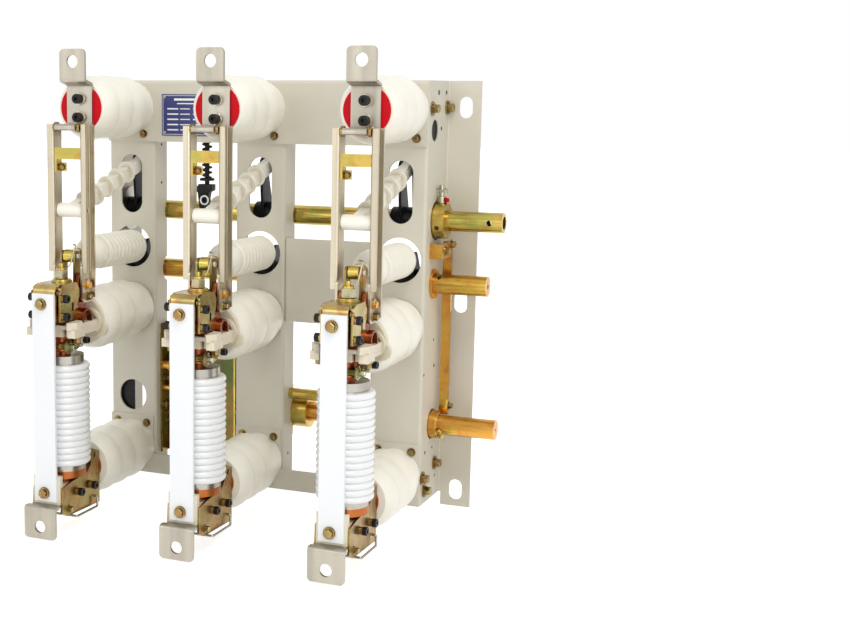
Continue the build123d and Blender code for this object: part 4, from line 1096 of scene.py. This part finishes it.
class SWITCH_OT_coil_spring(Operator):
    """Wound spring on its rod under the top beam, with the lever block at its foot"""

    bl_idname = "switch.coil_spring"
    bl_label = "Coil spring"

    def execute(self, context):
        coil = grown("coil_spring", bpy.data.meshes.new("coil"), wound_coils, "black_steel", "frame",
                     Turns=13.0, Radius=0.0066, Height=0.098, Wire_Radius=0.0014,
                     Place=spot(-97.0, 28.0, 172.0))
        foot = spot(-97.0, 28.0, 0.0)
        parts = [(foot, UP, ((0.0, 162.0), (3.1, 162.0), (3.5, 162.6), (3.5, 310.0), (0.0, 310.0)))]
        for base in (167.0, 270.0):
            parts.append((foot, UP, ((3.6, base), (11.0, base), (11.0, base + 2.6), (9.8, base + 4.0),
                                     (3.6, base + 4.0))))
        parts.append((foot, UP, ((3.6, 274.2), (7.4, 274.2), (7.4, 281.0), (3.6, 281.0)), 6))
        guide = turned_piece("spring_rod", "black_steel", "frame", parts, 0.2)
        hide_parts("spring_guide")
        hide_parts("spring_guide")
        lever = bmesh.new()
        block = ((-15.0, 0.0), (-15.0, 9.0), (-8.0, 9.0), (-8.0, 12.0), (15.0, 12.0), (15.0, 3.0),
                 (9.0, 0.0), (4.0, -24.0), (-6.0, -24.0), (-9.0, 0.0))
        plate(lever, spot(-100.0, 32.0, 150.0), RIGHT, UP, block[::-1], 12.0)
        turned(lever, spot(-95.0, 20.0, 139.0), FRONT,
               ((3.2, 0.0), (8.2, 0.0), (8.2, 4.6), (7.0, 5.0), (7.0, 4.0), (3.2, 4.0)))
        arm = shaped("spring_lever_block", lever, "black_steel", "frame", 0.4)
        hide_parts("spring_lever")
        rim = [(spot(-95.0, 15.0, 139.0), FRONT, ((5.0, 0.0), (7.2, 0.0), (7.2, 1.0), (5.0, 1.0)))]
        turned_piece("spring_lever_rim", "strip_white", "frame", rim, 0.15)
        return {"FINISHED"}


class SWITCH_OT_shaft_fittings(Operator):
    """Stud, clip, screws and ring of the three shafts, with black discs of painted shade at their centres"""

    bl_idname = "switch.shaft_fittings"
    bl_label = "Shaft fittings"

    def execute(self, context):
        self.isolator_collar()
        self.operating_collar()
        painted_hole_shade("shaft_centres", at(RIGHT, 0.0, 1.0, (340.0, *OPERATING_AXIS)), "operating", 0.0016)
        painted_hole_shade("drive_centre", at(RIGHT, 0.0, 1.0, (325.0, *DRIVE_AXIS)), "drive", 0.0032)
        place = spot(258.0, *DRIVE_AXIS) + Vector((0.0, -0.0098, 0.0096))
        buttons("drive_set_screw", [(place, (0.0, -0.72, 0.7), 0.0, 1.0)], "black_steel", "drive",
                0.003, 0.0006, 0.0002, 0.0001)
        return {"FINISHED"}

    def around(self, x, axis, radius, angles, turn):
        """Screws on a shaft's collar, at a radius in metres and angles from the back over the top."""
        spots = []
        for angle in angles:
            aim = Vector((0.0, math.cos(math.radians(angle)), math.sin(math.radians(angle))))
            spots.append((spot(x, *axis) + aim * radius, aim, turn, 1.0))
        return spots

    def isolator_collar(self):
        """Stud with its spring clip, a red screw, and the bores of the upper shaft's collar as black discs of
        painted shade.
        """
        top = spot(254.0, 52.0, 144.6)
        stud = ((0.0, 0.0), (6.2, 0.0), (6.2, 8.6), (5.4, 9.6), (3.9, 9.8), (3.9, 24.0), (3.1, 25.2),
                (0.0, 25.2))
        turned_piece("collar_stud", "pale_zinc", "isolator", [(top, UP, stud)], 0.2)
        clip = bmesh.new()
        for side in (-1.0, 1.0):
            outline = ((0.0, 0.0), (side * 1.6, 2.0), (side * 5.2, 6.6), (side * 7.6, 5.0), (side * 8.2, 1.2),
                       (side * 9.2, 1.4), (side * 9.0, 6.4), (side * 5.8, 8.6), (0.0, 4.0))
            plate(clip, top + Vector((0.0, -0.003, 0.013)), RIGHT, UP,
                  outline if side > 0 else outline[::-1], 1.2)
        shaped("collar_clip", clip, "steel", "isolator", 0.15)
        hexagons("collar_screw", at(RIGHT, 0.0, 1.0, (260.4, 50.0, 149.0)), "disc_red", "isolator",
                 0.003, 0.003, 0.0042, 0.0008)
        bores = self.around(254.5, ISOLATOR_AXIS, 0.0249, (200.0, 245.0, 290.0, 20.0), 0.0)
        painted_hole_shade("collar_holes", bores, "isolator", 0.0034, 0.0003)

    def operating_collar(self):
        """Bolts of the lower shaft's collar and the ring beside it."""
        bolts = self.around(262.5, OPERATING_AXIS, 0.0136, (205.0, 262.0, 330.0), 0.4)
        hexagons("collar_bolts", bolts, "yellow_zinc", "operating", 0.0044, 0.0042, 0.005, 0.0008)
        ring = ((BORE, 0.0), (17.6, 0.0), (17.6, 1.4), (16.9, 2.0), (BORE, 2.0))
        turned_piece("operating_ring", "yellow_zinc", "operating",
                     [(spot(256.2, *OPERATING_AXIS), RIGHT, ring)], 0.15)


class SWITCH_OT_interlock_bolts(Operator):
    """Foot of the hanging bar, and the bolts of the bar and its angle bracket"""

    bl_idname = "switch.interlock_bolts"
    bl_label = "Interlock bolts"

    def execute(self, context):
        bolts = at(RIGHT, 0.3, 1.0, (265.0, 40.0, 79.5))
        bolts += at(RIGHT, 0.8, 1.0, (265.0, 66.0, 86.0))
        bolts += at(RIGHT, 0.5, 0.9, (265.0, 74.0, -147.0))
        foot = bmesh.new()
        plate(foot, spot(251.8, 74.0, -149.0), BACK, UP, rounded_outline(4.4, 22.0, 0.8), 13.4)
        shaped("interlock_foot", foot, "orange_zinc", "frame", 0.4)
        hexagons("interlock_bolts", bolts, "bolt_zinc", "frame", 0.0048, 0.0045, 0.0068, 0.0012)
        return {"FINISHED"}


class SWITCH_OT_mechanism_bolts(Operator):
    """Bolts, drums and edge strips of the mechanism housing"""

    bl_idname = "switch.mechanism_bolts"
    bl_label = "Mechanism bolts"

    def execute(self, context):
        bolts = []
        for y, z, size in ((30.0, -136.0, 1.0), (22.0, -176.0, 0.9), (35.0, -181.0, 1.2),
                           (35.0, -204.0, 0.8)):
            bolts += at(RIGHT, 0.5, size, (-167.0, y, z)) + at(LEFT, 0.5, size, (-42.0, y, z))
        bolts += at(BACK, 0.2, 1.0, *((x, 45.0, z) for x in (-62.0, -150.0) for z in (-80.0, -225.0)))
        drums = [(spot(-169.5, 24.0, z), RIGHT,
                  ((0.0, 0.0), (radius, 0.0), (radius, 12.0), (radius * 1.25, 12.4), (radius * 1.25, 15.4),
                   (radius * 0.6, 16.0), (0.0, 16.0))) for z, radius in ((-115.0, 8.0), (-150.0, 5.0))]
        turned_piece("mechanism_drums", "orange_zinc", "frame", drums)
        edges = bmesh.new()
        for x, low_end, high_end in ((-171.5, -244.0, -64.0), (-46.0, -250.0, -64.0)):
            plate(edges, spot(x, 19.0, (low_end + high_end) / 2.0), RIGHT, UP,
                  rounded_outline(3.2, high_end - low_end, 0.8), 3.0)
        shaped("mechanism_edges", edges, "yellow_zinc", "frame", 0.3)
        hexagons("mechanism_bolts", bolts, "bolt_zinc", "frame", 0.0052, 0.0045, 0.0075)
        return {"FINISHED"}


class SWITCH_OT_plate_lines(Operator):
    """Plain ruled lines of the name plate"""

    bl_idname = "switch.plate_lines"
    bl_label = "Plate lines"

    def execute(self, context):
        lines = bmesh.new()
        left, face, low = -157.0, -1.0, 233.0
        rows = [(40.0, 52.5, 40.0, 3.2), (40.0, 46.6, 30.0, 1.6)]
        for row in range(5):
            z = 39.0 - row * 7.6
            rows += [(18.0, z, 18.0, 2.0), (38.0, z, 16.0, 1.4), (61.0, z, 20.0, 2.0)]
        for x, z, width, height in rows:
            plate(lines, spot(left + x, face, low + z), RIGHT, UP,
                  rounded_outline(width, height, height * 0.3, 2), 0.12)
        for x, z, width, height in ((40.0, 58.0, 76.0, 0.6), (40.0, 2.0, 76.0, 0.6), (2.0, 30.0, 0.6, 56.0),
                                    (78.0, 30.0, 0.6, 56.0)):
            plate(lines, spot(left + x, face, low + z), RIGHT, UP,
                  rounded_outline(width, height, 0.2, 1), 0.12)
        shaped("plate_lines", lines, "strip_white", "frame")
        rivets = [(left + x, face, low + z) for x in (4.5, 75.5) for z in (4.5, 55.5)]
        buttons("plate_rivets", at(FRONT, 0.0, 1.0, *rivets), "steel", "frame", 0.0019, 0.001)
        return {"FINISHED"}


class SWITCH_OT_stem_clamps(Operator):
    """Clamp ring round each stem, with its bolted ear at the right"""

    bl_idname = "switch.stem_clamps"
    bl_label = "Stem clamps"

    def execute(self, context):
        band = ((18.1, 0.0), (20.6, 0.0), (21.5, 0.9), (21.5, 3.6), (20.8, 4.5), (21.5, 5.4), (21.5, 8.1),
                (20.6, 9.0), (18.1, 9.0))
        angles = [math.radians(angle) for angle in range(-90, 181, 15)]
        outline = [(-9.6 * math.cos(angle), 9.6 * math.sin(angle)) for angle in angles]
        outline += [(9.6, -4.0), (4.0, -8.6)]
        rings = []
        ears = bmesh.new()
        bolts = []
        for x in POLES.values():
            rings.append((spot(x, -200.0, -58.0), UP, band, 48))
            plate(ears, spot(x + 20.0, -219.5, -50.5), BACK, UP, outline[::-1], 3.0)
            turned(ears, spot(x + 20.5, -219.5, -50.5), LEFT,
                   ((0.0, 0.0), (4.6, 0.0), (4.6, 12.0), (0.0, 12.0)))
            turned(ears, spot(x + 19.0, -201.0, -49.5), RIGHT,
                   ((0.0, 0.0), (6.0, 0.0), (6.6, 0.8), (6.6, 5.0), (6.0, 6.0), (0.0, 6.0)))
            bolts += at(RIGHT, 0.7, 1.0, (x + 23.0, -219.5, -50.5))
            bolts += at(RIGHT, 0.2, 0.8, (x + 25.0, -201.0, -49.5))
        ring = turned_piece("clamp_rings", "copper", "frame", rings)
        ear = shaped("clamp_ears", ears, "yoke_zinc", "frame", 0.3)
        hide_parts("stem_clamps")
        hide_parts("stem_clamps")
        hexagons("clamp_bolts", bolts, "pale_zinc", "frame", 0.0042, 0.0062, 0.0064)
        return {"FINISHED"}


class SWITCH_OT_window_plugs(Operator):
    """Black plug in each side window, and a black plate of painted shade behind the left post's window"""

    bl_idname = "switch.window_plugs"
    bl_label = "Window plugs"

    def execute(self, context):
        plug_and_shade_mesh = bmesh.new()
        for side, aim in SIDES:
            turned(plug_and_shade_mesh, spot(side * 239.0, 34.5, 245.0), aim,
                   ((0.0, 0.0), (14.8, 0.0), (14.8, 6.8), (13.4, 7.2), (12.4, 5.6), (0.0, 5.0)), 40)
        # Painted shade: a black plate behind the left post's window stands in for the shade inside the post.
        plate(plug_and_shade_mesh, spot(-224.0, 12.0, -161.3), RIGHT, UP, rounded_outline(26.0, 60.0, 3.0), 2.0)
        shaped("window_plugs_and_painted_shade", plug_and_shade_mesh, "black_steel", "frame", 0.2)
        return {"FINISHED"}


class SWITCH_OT_crank_hubs(Operator):
    """Black hubs between and beside the crank plates of the two inner shafts"""

    bl_idname = "switch.crank_hubs"
    bl_label = "Crank hubs"

    def execute(self, context):
        crank = 4.0
        edge = 0.8
        for name, body, axis, gap, outer, radius in (
                ("isolator_hubs", "isolator", ISOLATOR_AXIS, 8.0, 26.0, 17.5),
                ("drive_hubs", "drive", DRIVE_AXIS, 10.0, 24.0, 19.0)):
            hubs = []
            for x in POLES.values():
                for start, end in ((-outer, -gap - crank), (-gap, gap), (gap + crank, outer)):
                    width = end - start
                    hubs.append((spot(x + start, *axis), RIGHT,
                                 ((BORE, 0.0), (radius - edge, 0.0), (radius, edge), (radius, width - edge),
                                  (radius - edge, width), (BORE, width))))
            turned_piece(name, "black_steel", body, hubs)
        return {"FINISHED"}


class SWITCH_PT_panel(Panel):
    """Lists the switch's pieces"""

    bl_idname = "SWITCH_PT_panel"
    bl_label = "Load break switch"
    bl_space_type = "VIEW_3D"
    bl_region_type = "UI"
    bl_category = "Switch"

    def draw(self, context):
        column = self.layout.column(align=True)
        for operator in OPERATORS:
            column.operator(operator.bl_idname)
        for group in (context.scene.switch_sizes, context.scene.switch_colours):
            box = self.layout.box()
            for name in group.bl_rna.properties.keys():
                if name not in ("rna_type", "name"):
                    box.prop(group, name)


OPERATORS = (SWITCH_OT_stage, SWITCH_OT_finishes, SWITCH_OT_frame_screws, SWITCH_OT_side_bolts,
             SWITCH_OT_insulator_bolts, SWITCH_OT_punched_holes, SWITCH_OT_terminal_screws,
             SWITCH_OT_strip_bolts, SWITCH_OT_yoke_nuts, SWITCH_OT_flange_screws, SWITCH_OT_head_bolts,
             SWITCH_OT_blade_fittings, SWITCH_OT_link_caps, SWITCH_OT_bent_rods, SWITCH_OT_coil_spring,
             SWITCH_OT_shaft_fittings, SWITCH_OT_interlock_bolts, SWITCH_OT_mechanism_bolts,
             SWITCH_OT_plate_lines, SWITCH_OT_stem_clamps, SWITCH_OT_window_plugs, SWITCH_OT_crank_hubs)
CLASSES = (SwitchSizes, SwitchColours) + OPERATORS + (SWITCH_PT_panel,)


def register():
    for item in CLASSES:
        bpy.utils.register_class(item)
    bpy.types.Scene.switch_sizes = PointerProperty(type=SwitchSizes)
    bpy.types.Scene.switch_colours = PointerProperty(type=SwitchColours)


def unregister():
    del bpy.types.Scene.switch_colours
    del bpy.types.Scene.switch_sizes
    for item in reversed(CLASSES):
        bpy.utils.unregister_class(item)


def main():
    """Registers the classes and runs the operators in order."""
    register()
    for operator in OPERATORS:
        area, action = operator.bl_idname.split(".")
        getattr(getattr(bpy.ops, area), action)()


if __name__ == "__main__":
    main()
